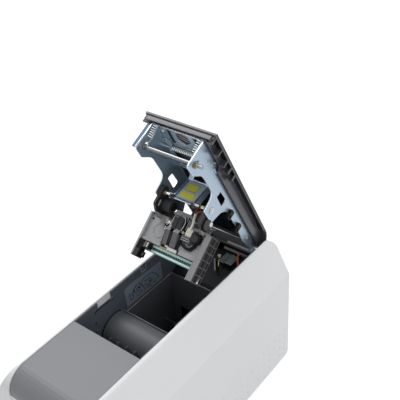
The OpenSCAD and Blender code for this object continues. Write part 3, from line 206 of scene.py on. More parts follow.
@dataclass
class Shaders:
    """Builds materials from finishes out of shared node groups. Lengths in metres.

    Attributes: octaves of the fine and the slow noise, waves of the slow one in a metre, swing of the
    roughness, stretch of brushed grain, roughness of coats, samples of the bevelled normal, the cosines
    between which an edge shows, and the sides and foot of the head's arms.
    """

    fine_detail: float = 3.0
    slow_detail: float = 2.0
    slow_scale: float = 22.0
    rough_swing: float = 0.12
    brush_stretch: float = 0.04
    coat_rough: float = 0.25
    bevel_samples: int = 4
    edge_cosines: tuple[float, float] = (0.995, 0.85)
    arm_sides: tuple[float, float] = (0.0336, 0.0374)
    arm_foot: float = 0.0004

    def __post_init__(self) -> None:
        """Makes the shared groups once."""
        self._made: dict[str, bpy.types.Material] = {}
        self._grain = self._grain_group()
        self._edge_wear_and_highlight = self._edge_wear_and_highlight_group()
        self._arms = self._arm_group()

    @staticmethod
    def _group(
        name: str, ins: Iterable[tuple[str, str, float]], outs: Iterable[tuple[str, str]]
    ) -> tuple[bpy.types.NodeTree, bpy.types.bpy_prop_collection, bpy.types.Node]:
        """Returns a new group's tree, the sockets that carry what it is given, and its output node."""
        tree = bpy.data.node_groups.new(name, "ShaderNodeTree")
        for label, kind, value in ins:
            sock = tree.interface.new_socket(label, in_out="INPUT", socket_type=kind)
            if kind == FLOAT:
                sock.default_value = value
        for label, kind in outs:
            tree.interface.new_socket(label, in_out="OUTPUT", socket_type=kind)
        return tree, tree.nodes.new("NodeGroupInput").outputs, tree.nodes.new("NodeGroupOutput")

    def _grain_group(self) -> bpy.types.NodeTree:
        """Returns the group that gives fine grain height, slow variation and roughness."""
        tree, given, out = self._group(
            "SurfaceGrain",
            [("Vector", VECTOR, 0), ("Size", FLOAT, 1000.0), ("Stretch", FLOAT, 1.0), ("Rough", FLOAT, 0.5)],
            [("Height", FLOAT), ("Variation", FLOAT), ("Roughness", FLOAT)],
        )
        comb = add_node(tree, "CombineXYZ", {0: given["Stretch"], 1: 1.0, 2: 1.0})
        scale = add_node(tree, "VectorMath", {0: given["Vector"], 1: comb.outputs[0]}, operation="MULTIPLY")
        fine = add_node(tree, "TexNoise", {
            "Vector": scale.outputs[0], "Scale": given["Size"], "Detail": self.fine_detail})
        slow = add_node(tree, "TexNoise", {
            "Vector": given["Vector"], "Scale": self.slow_scale, "Detail": self.slow_detail})
        least = calculate(tree, "SUBTRACT", given["Rough"], self.rough_swing / 2)
        set_inputs(tree, out, {
            "Height": fine.outputs["Fac"],
            "Variation": slow.outputs["Fac"],
            "Roughness": calculate(tree, "MULTIPLY_ADD", slow.outputs["Fac"], self.rough_swing, least),
        })
        return tree

    def _edge_wear_and_highlight_group(self) -> bpy.types.NodeTree:
        """Returns the group that finds edges with a bevelled normal, whose mask lays on the painted edge
        highlight.
        """
        tree, given, out = self._group(
            "EdgeWearAndHighlight",
            [("Radius", FLOAT, 0.0005), ("Amount", FLOAT, 0.0)],
            [("Mask", FLOAT), ("Normal", VECTOR)],
        )
        bevel = add_node(tree, "Bevel", {"Radius": given["Radius"]}, samples=self.bevel_samples)
        flat = add_node(tree, "NewGeometry", {})
        normals = {0: bevel.outputs[0], 1: flat.outputs["Normal"]}
        dot = add_node(tree, "VectorMath", normals, operation="DOT_PRODUCT")
        mask = add_node(tree, "MapRange", {
            "Value": dot.outputs["Value"],
            "From Min": self.edge_cosines[0],
            "From Max": self.edge_cosines[1],
            "To Max": given["Amount"],
        })
        set_inputs(tree, out, {"Mask": mask.outputs[0], "Normal": bevel.outputs[0]})
        return tree

    def _arm_group(self) -> bpy.types.NodeTree:
        """Returns the group that is 1 on the side arms: |x| in between, above the carrier's top edge."""
        near, far = self.arm_sides
        tree, given, out = self._group(
            "ArmMask", [("Vector", VECTOR, 0), ("Near", FLOAT, near), ("Far", FLOAT, far)], [("Mask", FLOAT)])
        top, above = CARRIER.points([[0, 0, 0], [0, 0, -1]])
        up = (above - top) / np.linalg.norm(above - top)
        split = add_node(tree, "SeparateXYZ", {0: given["Vector"]})
        size = calculate(tree, "ABSOLUTE", split.outputs["X"])
        past = calculate(tree, "GREATER_THAN", size, given["Near"])
        short = calculate(tree, "LESS_THAN", size, given["Far"])
        rise = add_node(tree, "VectorMath", {0: given["Vector"], 1: tuple(up)}, operation="DOT_PRODUCT")
        high = calculate(tree, "GREATER_THAN", rise.outputs["Value"], float(top @ up) + self.arm_foot)
        band = calculate(tree, "MULTIPLY", past, short)
        set_inputs(tree, out, {"Mask": calculate(tree, "MULTIPLY", band, high)})
        return tree

    def get(self, fin: Finish) -> bpy.types.Material:
        """Returns the material of a finish, made once."""
        if fin.name in self._made:
            return self._made[fin.name]
        mat = bpy.data.materials.new(fin.name)
        mat.use_nodes = True
        mat.diffuse_color = (*fin.colour, 1.0)
        tree = mat.node_tree
        place = add_node(tree, "TexCoord", {}).outputs["Object"]
        grain = add_node(tree, "Group", {
            "Vector": place,
            "Size": 1.0 / (fin.grain_mm * MM),
            "Stretch": self.brush_stretch if fin.grain is Grain.BRUSHED else 1.0,
            "Rough": fin.rough,
        }, node_tree=self._grain)
        dark, light = (
            (*(min(1.0, c * share) for c in fin.colour), 1.0) for share in (1.0 - fin.vary, 1.0 + fin.vary))
        colour = blend(tree, grain.outputs["Variation"], dark, light)
        # edge colour mixed in along edges: a painted highlight, on steel also bare metal
        edges = {"Radius": fin.edge_mm * MM, "Amount": fin.edge_mix}
        edge_wear_and_highlight = add_node(tree, "Group", edges, node_tree=self._edge_wear_and_highlight)
        colour = blend(tree, edge_wear_and_highlight.outputs["Mask"], colour, (*fin.edge, 1.0))
        if fin.arms is not None:
            arms = add_node(tree, "Group", {"Vector": place}, node_tree=self._arms)
            colour = blend(tree, arms.outputs["Mask"], colour, (*fin.arms, 1.0))
        bump = add_node(tree, "Bump", {
            "Strength": 0.0 if fin.grain is Grain.NONE else 1.0,
            "Distance": fin.depth * MM,
            "Height": grain.outputs["Height"],
            "Normal": edge_wear_and_highlight.outputs["Normal"],
        })
        set_inputs(tree, tree.nodes["Principled BSDF"], {
            "Base Color": colour,
            "Metallic": fin.metal,
            "Roughness": grain.outputs["Roughness"],
            "Specular IOR Level": fin.spec,
            "Coat Weight": fin.coat,
            "Coat Roughness": self.coat_rough,
            "Normal": bump.outputs["Normal"],
        })
        self._made[fin.name] = mat
        return mat


def grainless(name: str, colour: Triple, rough: float, metal: float = 0.0, **rest: float) -> Finish:
    """Returns a finish without grain."""
    return Finish(name, colour, rough, metal, grain=Grain.NONE, **rest)


# edge and edge_mix below paint a highlight along edges; on ZINC and BLUE_ZINC it is partly bare steel as well
WHITE = Finish("white_shell", (0.80, 0.805, 0.815), 0.42, grain_mm=0.5, depth=0.010, vary=0.01, edge_mm=0.8)
GREY_TOP = Finish("grey_top", (0.20, 0.205, 0.215), 0.45, depth=0.02, vary=0.03)
DARK = Finish("dark_plastic", (0.040, 0.041, 0.045), 0.5, spec=0.35, depth=0.04)
COLUMN = Finish("column_faces", (0.14, 0.14, 0.143), 0.4, spec=0.25, grain_mm=0.9, depth=0.05,
                edge=(0.30, 0.30, 0.31), edge_mix=0.8, edge_mm=0.35)
BLACK = Finish("black_plastic", (0.007, 0.007, 0.008), 0.45, spec=0.12, grain_mm=0.9, depth=0.03,
               edge=(0.10, 0.10, 0.105), edge_mix=0.7, edge_mm=0.35)
DARK_TOP = Finish("dark_faces", (0.032, 0.032, 0.034), 0.4, spec=0.25, grain_mm=0.9, depth=0.05,
                  edge=(0.34, 0.34, 0.35), edge_mix=0.8, edge_mm=0.35)
LINER = Finish("liner_plastic", (0.100, 0.114, 0.136), 0.36, spec=0.4, depth=0.015, vary=0.04)
WELL = Finish("well_plastic", (0.115, 0.118, 0.130), 0.5, spec=0.4, depth=0.03)
HOOD = Finish("hood_plastic", (0.105, 0.109, 0.117), 0.40, spec=0.35, grain_mm=0.9, depth=0.05)
DECK = Finish("deck_plastic", (0.012, 0.013, 0.015), 0.6, spec=0.15, grain_mm=0.9, depth=0.05)
COVER = Finish("lid_plastic", (0.058, 0.060, 0.065), 0.46, spec=0.35, grain_mm=0.7, depth=0.05)
ZINC = Finish("zinc_steel", (0.56, 0.60, 0.64), 0.33, 0.9, grain=Grain.BRUSHED, depth=0.004, edge_mix=0.5)
BLUE_ZINC = Finish("lid_steel", (0.40, 0.50, 0.60), 0.36, 0.8, depth=0.004, vary=0.10,
                   edge=(0.95, 0.97, 1.0), edge_mix=0.8, edge_mm=0.6)
BRIGHT = grainless("bright_steel", (0.56, 0.55, 0.53), 0.16, 1.0, vary=0.05)
LEAF_GREY = Finish("leaf_plate", (0.26, 0.28, 0.30), 0.4, spec=0.3, depth=0.03)
# painted highlight along the latch block's edges
SILVER_LIT = grainless("painted_edge_highlight", (0.62, 0.63, 0.65), 0.35, 0.2, vary=0.1)
SHAFT = grainless("ground_shaft", (0.30, 0.30, 0.31), 0.18, 1.0, vary=0.03)
SPRING = grainless("spring_wire", (0.86, 0.87, 0.88), 0.22, 0.75, vary=0.02)
MOTOR = Finish("motor_steel", (0.20, 0.20, 0.21), 0.4, 0.6)
BRASS = grainless("brass", (0.72, 0.52, 0.20), 0.28, 1.0)
RUBBER = Finish("rubber", (0.02, 0.02, 0.021), 0.75, depth=0.08)
ROLLER = Finish("roller_rubber", (0.035, 0.035, 0.037), 0.6, depth=0.05)
CLEANER = grainless("cleaning_rubber", (0.06, 0.14, 0.30), 0.3)
NYLON = grainless("white_nylon", (0.74, 0.72, 0.64), 0.45)
BOARD = Finish("circuit_board", (0.012, 0.09, 0.035), 0.3, depth=0.05)
RED_WIRE = grainless("red_wire", (0.52, 0.03, 0.02), 0.35)
SLEEVE = Finish("white_sleeve", (0.80, 0.78, 0.72), 0.5, grain_mm=1.2, depth=0.08)
WINDOW = grainless("clear_window", (0.01, 0.012, 0.016), 0.06, coat=1.0)
BUTTON = grainless("button_plastic", (0.50, 0.51, 0.53), 0.25, coat=0.5)
CARRIER_GREY = Finish("carrier_plastic", (0.38, 0.382, 0.39), 0.5, grain_mm=0.8, depth=0.09, vary=0.14,
                      edge=(0.42, 0.42, 0.43), edge_mix=0.6, edge_mm=0.5, arms=(0.012, 0.012, 0.014))
RAIL = Finish("rail_plastic", (0.014, 0.014, 0.016), 0.5, spec=0.2, depth=0.04,
              edge=(0.16, 0.16, 0.165), edge_mix=0.8, edge_mm=0.4)
TEAL = grainless("bar_teal", (0.10, 0.26, 0.22), 0.3)
DUCT = Finish("duct_plastic", (0.005, 0.006, 0.008), 0.5, spec=0.15)
# bright strips: bare steel on cut edges, with a painted highlight there and on folds and rolled edges
BARE_EDGE_AND_HIGHLIGHT = grainless("bare_edge_and_highlight", (0.80, 0.84, 0.88), 0.25, 0.7, vary=0.02)
YELLOW_ZINC = grainless("yellow_zinc", (0.30, 0.26, 0.14), 0.3, 0.8, vary=0.05)
LABEL_BLUE = grainless("label_field", (0.60, 0.68, 0.79), 0.35, 0.2, vary=0.03)
LABEL_LINE = grainless("label_line", (0.035, 0.045, 0.06), 0.4)
YELLOW = grainless("yellow_patch", (0.95, 0.90, 0.10), 0.45, vary=0.03)
END_BAND = Finish("end_band", (0.20, 0.20, 0.21), 0.42, grain_mm=0.5, depth=0.02, vary=0.03)
RIB_LIT = Finish("lit_rib", (0.13, 0.13, 0.137), 0.4, depth=0.03)
WALL_SHEEN = grainless("wall_sheen", (0.065, 0.066, 0.075), 0.26, vary=0.1)
MINT = grainless("glazed_mint", (0.42, 0.97, 0.87), 0.12, coat=0.6, vary=0.04)
TRACK = grainless("print_track", (0.006, 0.007, 0.008), 0.3, spec=0.3)
TICK = grainless("track_tick", (0.28, 0.29, 0.29), 0.3)
BAR_LIT = grainless("bar_lit", (0.84, 1.0, 0.97), 0.2, vary=0.0)
SILK = grainless("silver_film", (0.72, 0.73, 0.74), 0.35, 0.2, vary=0.12)
CREAM = grainless("cream_plug", (0.80, 0.77, 0.62), 0.4)
ORANGE_WIRE = grainless("orange_wire", (0.75, 0.20, 0.03), 0.35)
AMBER = grainless("amber_film", (0.42, 0.25, 0.08), 0.2, coat=0.8)
# painted highlight on the carrier's rims and on lines of the latch block
CARRIER_LIT = Finish("carrier_painted_highlight", (0.36, 0.36, 0.37), 0.45, grain_mm=0.8, depth=0.04)
DRUM = Finish("grey_drum", (0.045, 0.045, 0.048), 0.5, spec=0.2, depth=0.03)
# lighter grey for the lit faces of dark parts, a painted highlight; the deck lever takes it too
RAIL_LIT = Finish("rail_front", (0.27, 0.27, 0.276), 0.42, depth=0.05, vary=0.1)
# painted highlight on the rail's ribs
RAIL_RIB_HIGHLIGHT = Finish("rail_rib_highlight", (0.065, 0.065, 0.068), 0.4, depth=0.03)
PLATE_BLUE = grainless("instruction_plate", (0.21, 0.24, 0.30), 0.4, spec=0.4, vary=0.05)
PLATE_RIM = grainless("plate_rim", (0.26, 0.30, 0.36), 0.35)
INK = grainless("ink", (0.006, 0.007, 0.009), 0.5, spec=0.2)
NOTCH_RIM = grainless("notch_rim", (0.42, 0.45, 0.50), 0.35)
# painted highlight: light line on top of the well's rim ledge, and a glint deep in the well
LEDGE_HIGHLIGHT = grainless("rim_ledge_highlight", (0.34, 0.33, 0.31), 0.35, vary=0.1)
VENT_BLUE = grainless("vent_blue", (0.22, 0.26, 0.29), 0.35)
DOME = grainless("shell_dome", (0.72, 0.73, 0.74), 0.4, vary=0.01)
GLOSS_BLACK = grainless("gloss_black", (0.035, 0.035, 0.038), 0.2, spec=0.6, coat=0.4)
SILVER_GREY = grainless("silver_grey", (0.24, 0.24, 0.25), 0.35, 0.4)
STEEL_BLUE = grainless("dark_steel", (0.055, 0.070, 0.092), 0.35, 0.3, vary=0.1)
FOLD_BLUE = grainless("blue_fold", (0.045, 0.115, 0.21), 0.45, 0.1, vary=0.1)
# painted highlight on lit folds of the steel
FOLD_HIGHLIGHT_BLUE = grainless("pale_fold_highlight", (0.46, 0.62, 0.72), 0.3, 0.5, vary=0.04)

NODE_FINISH: dict[str, Finish] = {
    "base_pan": ZINC, "rubber_feet": RUBBER, "side_panel_left": WHITE, "side_panel_right": WHITE,
    "top_panel": GREY_TOP, "front_fascia": WHITE, "rear_panel": DARK, "bay_liner_left": LINER,
    "bay_liner_right": LINER, "ribbon_well": WELL, "roller_hood": HOOD, "rear_deck": DECK,
    "latch_catches": ZINC, "hinge_brackets": ZINC, "side_frames": ZINC, "transport_plates": ZINC,
    "card_bed": BLACK, "card_hopper": DARK, "output_bin": DARK, "main_board": BOARD,
    "power_inlet": BLACK, "data_sockets": BRIGHT, "feed_motor": MOTOR, "ribbon_motor": MOTOR,
    "fan_frame": BLACK, "body_screws": BRIGHT, "roller_bushes": NYLON, "transport_belt": RUBBER,
    "deck_wires": RED_WIRE, "status_window": WINDOW, "platen_roller": ROLLER, "feed_roller": ROLLER,
    "exit_roller": ROLLER, "pick_roller": ROLLER, "cleaning_roller": CLEANER, "motor_pinion": BRASS,
    "takeup_hub": NYLON, "supply_hub": NYLON, "ribbon_pinion": BRASS, "fan_rotor": BLACK,
    "power_button": BUTTON, "hopper_door": DARK, "card_weight": MOTOR, "lid_cover": COVER,
    "lid_frame": BLUE_ZINC, "hinge_pins": BRIGHT, "cross_rod": BRIGHT, "spring_rod": BRIGHT,
    "latch_springs": BRIGHT, "lid_screws": BRIGHT, "cable_clips": BLACK, "lid_duct": DUCT,
    "latch_shaft": SHAFT, "head_bracket": BLUE_ZINC, "head_pivot_rod": BRIGHT,
    "head_carrier": CARRIER_GREY, "print_bar": TEAL, "head_rail": RAIL, "head_blocks": BLACK,
    "head_cable": SLEEVE,
}


# ---------------------------------------------------------------- studio


@dataclass
class Studio:
    """Camera, lamps, world and floor.

    Attributes: the camera's angles in degrees, its focal length and the render's width in pixels, its
    sensor and place in millimetres and its range in metres; name, place, size and power of each lamp, and
    their common aim, in metres and watts; the world's colour and strength; half width in metres, grey,
    grey in shadow and glow of the floor.
    """

    azimuth: float = 39.90
    elevation: float = 35.17
    roll: float = -4.18
    focal: float = 698.24
    render_width: float = 400.0
    sensor: float = 36.0
    eye: Triple = (471.92, -454.04, 828.55)
    reach: Place = (0.05, 20.0)
    lamps: tuple[tuple[str, Triple, float, float], ...] = (
        ("key", (-1.1, 0.3, 1.9), 1.2, 16.0),
        ("top", (0.5, 0.9, 1.9), 1.4, 12.0),
        ("side", (1.7, -0.6, 0.9), 1.2, 5.0),
    )
    aim: Triple = (0.0, 0.0, 0.15)
    sky_colour: Triple = (0.97, 0.98, 1.0)
    sky: float = 0.5
    floor_half: float = 6.0
    floor_grey: float = 0.80
    shadow_grey: float = 0.28
    floor_glow: float = 0.84

    def camera(self) -> None:
        """Makes the camera from its angles, focal length and place."""
        az, el, ro = (math.radians(v) for v in (self.azimuth, self.elevation, self.roll))
        look = Vector((-math.sin(az) * math.cos(el), math.cos(az) * math.cos(el), -math.sin(el)))
        right = Vector((math.cos(az), math.sin(az), 0.0))
        up = right.cross(look)
        rolled_right = right * math.cos(ro) + up * math.sin(ro)
        rolled_up = -right * math.sin(ro) + up * math.cos(ro)
        data = bpy.data.cameras.new("camera")
        data.sensor_width = self.sensor
        data.lens = self.focal / self.render_width * self.sensor
        data.clip_start, data.clip_end = self.reach
        cam = bpy.data.objects.new("camera", data)
        bpy.context.scene.collection.objects.link(cam)
        turned = Matrix((rolled_right, rolled_up, -look)).transposed().to_4x4()
        turned.translation = Vector(self.eye) * MM
        cam.matrix_world = turned
        bpy.context.scene.camera = cam

    def _lamp(self, name: str, at: Triple, size: float, power: float) -> None:
        """Adds one square area lamp at a place in metres, turned to the common aim."""
        data = bpy.data.lights.new(name, "AREA")
        data.size, data.energy = size, power
        lamp = bpy.data.objects.new(name, data)
        lamp.location = at
        lamp.rotation_euler = (Vector(self.aim) - Vector(at)).to_track_quat("-Z", "Y").to_euler()
        bpy.context.scene.collection.objects.link(lamp)

    def light(self) -> None:
        """Adds the soft lamps and the world, white to the camera and in what metal and glass show."""
        bpy.context.scene.view_settings.view_transform = "Standard"
        for lamp in self.lamps:
            self._lamp(*lamp)
        world = bpy.data.worlds.new("world")
        bpy.context.scene.world = world
        world.use_nodes = True
        tree = world.node_tree
        back = tree.nodes["Background"]
        set_inputs(tree, back, {"Color": (*self.sky_colour, 1.0), "Strength": self.sky})
        white = add_node(tree, "Background", {"Color": grey(1.0)})
        self._show(tree, back, white, tree.nodes["World Output"])

    @staticmethod
    def _show(
        tree: bpy.types.NodeTree, other: bpy.types.Node, seen: bpy.types.Node, out: bpy.types.Node
    ) -> None:
        """Sends rays of the camera, of mirrors and of glass to the seen shader and the rest to the other."""
        rays = add_node(tree, "LightPath", {}).outputs
        direct = calculate(tree, "MAXIMUM", rays["Is Camera Ray"], rays["Is Glossy Ray"])
        share = calculate(tree, "MAXIMUM", direct, rays["Is Transmission Ray"])
        mix = add_node(tree, "MixShader", {0: share, 1: other.outputs[0], 2: seen.outputs[0]})
        set_inputs(tree, out, {"Surface": mix.outputs[0]})

    def floor(self) -> None:
        """Adds the pale floor, white where it is seen but for the soft shadow."""
        mesh = bpy.data.meshes.new("floor")
        h = self.floor_half
        mesh.from_pydata([(-h, -h, 0), (h, -h, 0), (h, h, 0), (-h, h, 0)], [], [(0, 1, 2, 3)])
        obj = bpy.data.objects.new("floor", mesh)
        bpy.context.scene.collection.objects.link(obj)
        mat = bpy.data.materials.new("floor")
        mat.use_nodes = True
        tree = mat.node_tree
        bsdf = tree.nodes["Principled BSDF"]
        set_inputs(tree, bsdf, {
            "Base Color": grey(self.floor_grey), "Roughness": 0.9, "Specular IOR Level": 0.1})
        shade = add_node(tree, "BsdfDiffuse", {"Color": grey(self.shadow_grey)})
        glow = add_node(tree, "Emission", {"Strength": self.floor_glow})
        add = add_node(tree, "AddShader", {0: shade.outputs[0], 1: glow.outputs[0]})
        self._show(tree, bsdf, add, tree.nodes["Material Output"])
        mesh.materials.append(mat)


# ---------------------------------------------------------------- surfaces


Faces = list[tuple[int, ...]]
Points = Sequence[Sequence[float]] | np.ndarray

# Directions from which a tube's rings are laid out, the second where the path runs along the first.
RING_STARTS = np.array(((0.31, 0.87, 0.38), (0.9, -0.2, 0.4)))
ALONG = 0.97
LEAST_RADIUS = 0.01
BEVEL_STEPS = 2
BEVEL_FROM = math.radians(50)


def others(axis: int) -> list[int]:
    """Returns the two other axes in their order."""
    return [i for i in (X, Y, Z) if i != axis]


def span(side: int, near: float, far: float) -> list[float]:
    """Returns two distances from the middle plane, both on one side of it, with the lower value first."""
    return sorted((side * near, side * far))


def rounded(corners: Corners, steps: int = 5) -> np.ndarray:
    """Outline whose corners are arcs.

    Each corner lies between two edges; the arc's centre sits on their bisector at radius over the sine of
    half the angle, and the arc runs between the feet of the two radii.

    Args:
        corners: [a, b, radius] of each corner in order.
        steps: parts of each arc.
    Returns:
        An (n, 2) array of points.
    """
    pts: list[np.ndarray] = []
    n = len(corners)
    for i, (px, py, rad) in enumerate(corners):
        p = np.array((px, py))
        if rad <= 0.0:
            pts.append(p[None])
            continue
        a, b = np.array(corners[i - 1][:2]), np.array(corners[(i + 1) % n][:2])
        u, v = (a - p) / np.linalg.norm(a - p), (b - p) / np.linalg.norm(b - p)
        half = math.acos(float(np.clip(u @ v, -1, 1))) / 2
        mid = (u + v) / np.linalg.norm(u + v)
        centre = p + mid * rad / math.sin(half)
        s, e = p + u * rad / math.tan(half) - centre, p + v * rad / math.tan(half) - centre
        a0 = math.atan2(s[1], s[0])
        da = (math.atan2(e[1], e[0]) - a0 + math.pi) % (2 * math.pi) - math.pi
        t = a0 + da * np.linspace(0, 1, steps + 1)
        pts.append(centre + rad * np.column_stack((np.cos(t), np.sin(t))))
    return np.vstack(pts)


def circle(radius: float, steps: int, centre: Place = (0.0, 0.0)) -> np.ndarray:
    """Returns an (n, 2) ring of points: centre plus radius times cosine and sine."""
    t = np.linspace(0, 2 * math.pi, steps, endpoint=False)
    return np.column_stack((np.cos(t), np.sin(t))) * radius + np.asarray(centre)


def smooth_path(points: Points, steps: int = 6) -> np.ndarray:
    """Curve through the points: on each stretch the cubic with the mean slopes of its neighbours.

    Args:
        points: the places that the curve passes.
        steps: parts of each stretch.
    Returns:
        An (n, 3) array.
    """
    p = np.asarray(points, float)
    a, b, c, d = p[np.r_[0, 0:len(p) - 2]], p[:-1], p[1:], p[np.r_[2:len(p), len(p) - 1]]
    t = (np.arange(steps) / steps)[None, :, None]
    a, b, c, d = (q[:, None] for q in (a, b, c, d))
    curve = 0.5 * (2 * b + (c - a) * t + (2 * a - 5 * b + 4 * c - d) * t**2 + (3 * b - a - 3 * c + d) * t**3)
    return np.vstack((curve.reshape(-1, 3), p[-1:]))


def helix(
    start: Sequence[float], end: Sequence[float], radius: float, turns: float, per: int = 14
) -> np.ndarray:
    """Coil about the line from start to end: the line's point plus a turning radius square to it.

    Args:
        start: first point of the axis.
        end: last point of the axis.
        radius: radius of the coil.
        turns: number of turns.
        per: points for each turn.
    Returns:
        An (n, 3) array.
    """
    a, b = np.asarray(start, float), np.asarray(end, float)
    way = (b - a) / np.linalg.norm(b - a)
    side = np.cross(way, (0.0, 0.0, 1.0) if abs(way[2]) < 0.9 else (1.0, 0.0, 0.0))
    side /= np.linalg.norm(side)
    other = np.cross(way, side)
    t = np.linspace(0, 1, int(turns * per) + 1)[:, None]
    ang = 2 * math.pi * turns * t
    return a + (b - a) * t + radius * (np.cos(ang) * side + np.sin(ang) * other)


class Piece:
    """One object that gathers surfaces in a local space and gets one material for each finish."""

    def __init__(self, name: str, body: str, space: Space, shaders: Shaders, slot: str) -> None:
        """Args: name, body that carries it, space of its points and shaders; slot is not used."""
        self.name, self.body, self.space, self.shaders, self.slot = name, body, space, shaders, slot
        self._verts: list[np.ndarray] = []
        self._faces: Faces = []
        self._mats: list[int] = []
        self._finishes: list[Finish] = []
        self._count = 0

    def add(self, verts: np.ndarray, faces: Faces, fin: Finish) -> None:
        """Adds points in local millimetres with their faces.

        Args:
            verts: (n, 3) points.
            faces: rings of point numbers.
            fin: finish of these faces.
        """
        if fin not in self._finishes:
            self._finishes.append(fin)
        at = self._finishes.index(fin)
        self._verts.append(np.asarray(verts, float))
        self._faces += [tuple(int(i) + self._count for i in f) for f in faces]
        self._mats += [at] * len(faces)
        self._count += len(verts)

    def grid(self, pts: np.ndarray, fin: Finish, loop: bool = False) -> None:
        """Adds a tube-like surface of m rings with k points each.

        Face (i, j) joins points j and j+1 of rings i and i+1; the last point of a ring joins the first.

        Args:
            pts: (m, k, 3) points.
            fin: finish.
            loop: whether the last ring joins the first; otherwise both end rings are closed.
        """
        m, k = pts.shape[:2]
        i = np.arange(m if loop else m - 1)[:, None]
        j = np.arange(k)[None, :]
        nxt, jn = (i + 1) % m, (j + 1) % k
        quads = np.stack(np.broadcast_arrays(i * k + j, i * k + jn, nxt * k + jn, nxt * k + j), -1)
        faces: Faces = [tuple(q) for q in quads.reshape(-1, 4).tolist()]
        if not loop:
            faces += [tuple(range(k)), tuple(range((m - 1) * k, m * k))]
        self.add(pts.reshape(-1, 3), faces, fin)

    def tube(self, path: Points, radius: float, fin: Finish, sides: int = 10, loop: bool = False) -> None:
        """Adds a round wire along a path: each point carries a circle square to the path's direction.

        Args:
            path: (m, 3) points.
            radius: wire radius in millimetres.
            fin: finish.
            sides: points round the wire.
            loop: whether the path closes on itself.
        """
        p = np.asarray(path, float)
        d = np.roll(p, -1, 0) - np.roll(p, 1, 0) if loop else np.gradient(p, axis=0)
        d /= np.linalg.norm(d, axis=1, keepdims=True)
        ref, spare = RING_STARTS
        if np.abs(d @ ref).max() > ALONG:
            ref = spare
        s = np.cross(d, ref)
        s /= np.linalg.norm(s, axis=1, keepdims=True)
        q = np.cross(d, s)
        t = np.linspace(0, 2 * math.pi, sides, endpoint=False)[None, :, None]
        self.grid(p[:, None] + radius * (np.cos(t) * s[:, None] + np.sin(t) * q[:, None]), fin, loop)

    def prism(self, outline: Points, axis: int, lo: float, hi: float, fin: Finish) -> None:
        """Adds a straight prism: the outline at lo and at hi along one axis, joined.

        Args:
            outline: (n, 2) points in the two other axes, in their order.
            axis: X, Y or Z.
            lo: low end.
            hi: high end.
            fin: finish.
        """
        o = np.asarray(outline, float)
        rings = np.empty((2, len(o), 3))
        rings[..., others(axis)] = o
        rings[0, :, axis], rings[1, :, axis] = lo, hi
        self.grid(rings, fin)

    def box(self, lo: Sequence[float], hi: Sequence[float], fin: Finish) -> None:
        """Adds a box between two corners."""
        ring = ((lo[0], lo[1]), (hi[0], lo[1]), (hi[0], hi[1]), (lo[0], hi[1]))
        self.prism(ring, Z, lo[2], hi[2], fin)

    def boxes(self, *rows: tuple[Sequence[float], Sequence[float], Finish]) -> None:
        """Adds a box for each row of two corners and a finish."""
        for lo, hi, fin in rows:
            self.box(lo, hi, fin)

    def turned(
        self, profile: Sequence[Place], at: Sequence[float], axis: int, fin: Finish, sides: int = 28
    ) -> None:
        """Adds a turned shape: each profile point's radius is carried round an axis through a place.

        Args:
            profile: (distance along the axis, radius) pairs.
            at: place of the profile's zero.
            axis: X, Y or Z.
            fin: finish.
            sides: points round the axis.
        """
        pr = np.asarray(profile, float)
        rings = np.zeros((len(pr), sides, 3))
        radii = np.maximum(pr[:, 1], LEAST_RADIUS)[:, None, None]
        rings[..., others(axis)] = circle(1.0, sides)[None] * radii
        rings[..., axis] = pr[:, 0][:, None]
        self.grid(rings + np.asarray(at, float), fin)

    def stroke(
        self, points: Points, axis: int, at: float, width: float, thick: float, fin: Finish
    ) -> None:
        """Adds a flat line: each point of the path is set to both sides by half the width.

        Args:
            points: (n, 2) places in the two other axes.
            axis: axis square to the drawing.
            at: height of the line's foot.
            width: width of the line.
            thick: signed height of the line.
            fin: finish.
        """
        p = np.asarray(points, float)
        d = np.gradient(p, axis=0)
        d /= np.linalg.norm(d, axis=1, keepdims=True)
        side = np.column_stack((-d[:, 1], d[:, 0])) * width / 2
        ring = np.stack((p - side, p + side, p + side, p - side), 1)
        rings = np.empty((len(p), 4, 3))
        rings[..., others(axis)] = ring
        rings[..., axis] = np.array((at, at, at + thick, at + thick))[None]
        self.grid(rings, fin)

    def done(self, bevel: float = 0.0, angle: float = 40.0) -> bpy.types.Object:
        """Makes the object with outward faces, rides it on its body and reports it.

        Args:
            bevel: width of the bevel on sharp edges in millimetres, none when 0.
            angle: edges sharper than this many degrees stay sharp.
        Returns:
            The new object.
        """
        mesh = bpy.data.meshes.new(self.name)
        mesh.from_pydata(self.space.points(np.vstack(self._verts)).tolist(), [], self._faces)
        for fin in self._finishes:
            mesh.materials.append(self.shaders.get(fin))
        mesh.polygons.foreach_set("material_index", np.array(self._mats, np.int32))
        form = bmesh.new()
        form.from_mesh(mesh)
        bmesh.ops.recalc_face_normals(form, faces=form.faces)
        form.to_mesh(mesh)
        form.free()
        mesh.polygons.foreach_set("use_smooth", np.ones(len(mesh.polygons), bool))
        mesh.set_sharp_from_angle(angle=math.radians(angle))
        obj = bpy.data.objects.new(self.name, mesh)
        bpy.context.scene.collection.objects.link(obj)
        if bevel > 0.0:
            mod = obj.modifiers.new("edges", "BEVEL")
            mod.width, mod.segments = bevel * MM, BEVEL_STEPS
            mod.limit_method, mod.angle_limit = "ANGLE", BEVEL_FROM
            mod.harden_normals = True
        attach(obj, self.body)
        log.info("piece %s on %s, %d faces", self.name, self.body, len(self._faces))
        return obj


# ---------------------------------------------------------------- sub-assemblies


# Places in x and u of the screws that hold the lid's plate to its cover.
PLATE_SCREWS: Outline = ((-33, 217), (33, 217), (-33, 124), (33, 124), (-30, 236), (30, 236))


@dataclass
class Assembly:
    """A group of pieces that one body carries. All sizes are in millimetres."""

    shaders: Shaders
    body: ClassVar[str] = "chassis"
    space: ClassVar[Space] = BODY

    def piece(self, name: str, slot: str, body: str | None = None, space: Space | None = None) -> Piece:
        """Starts a piece on the group's body and in its space, unless others are given."""
        return Piece(name, body or self.body, space or self.space, self.shaders, slot)


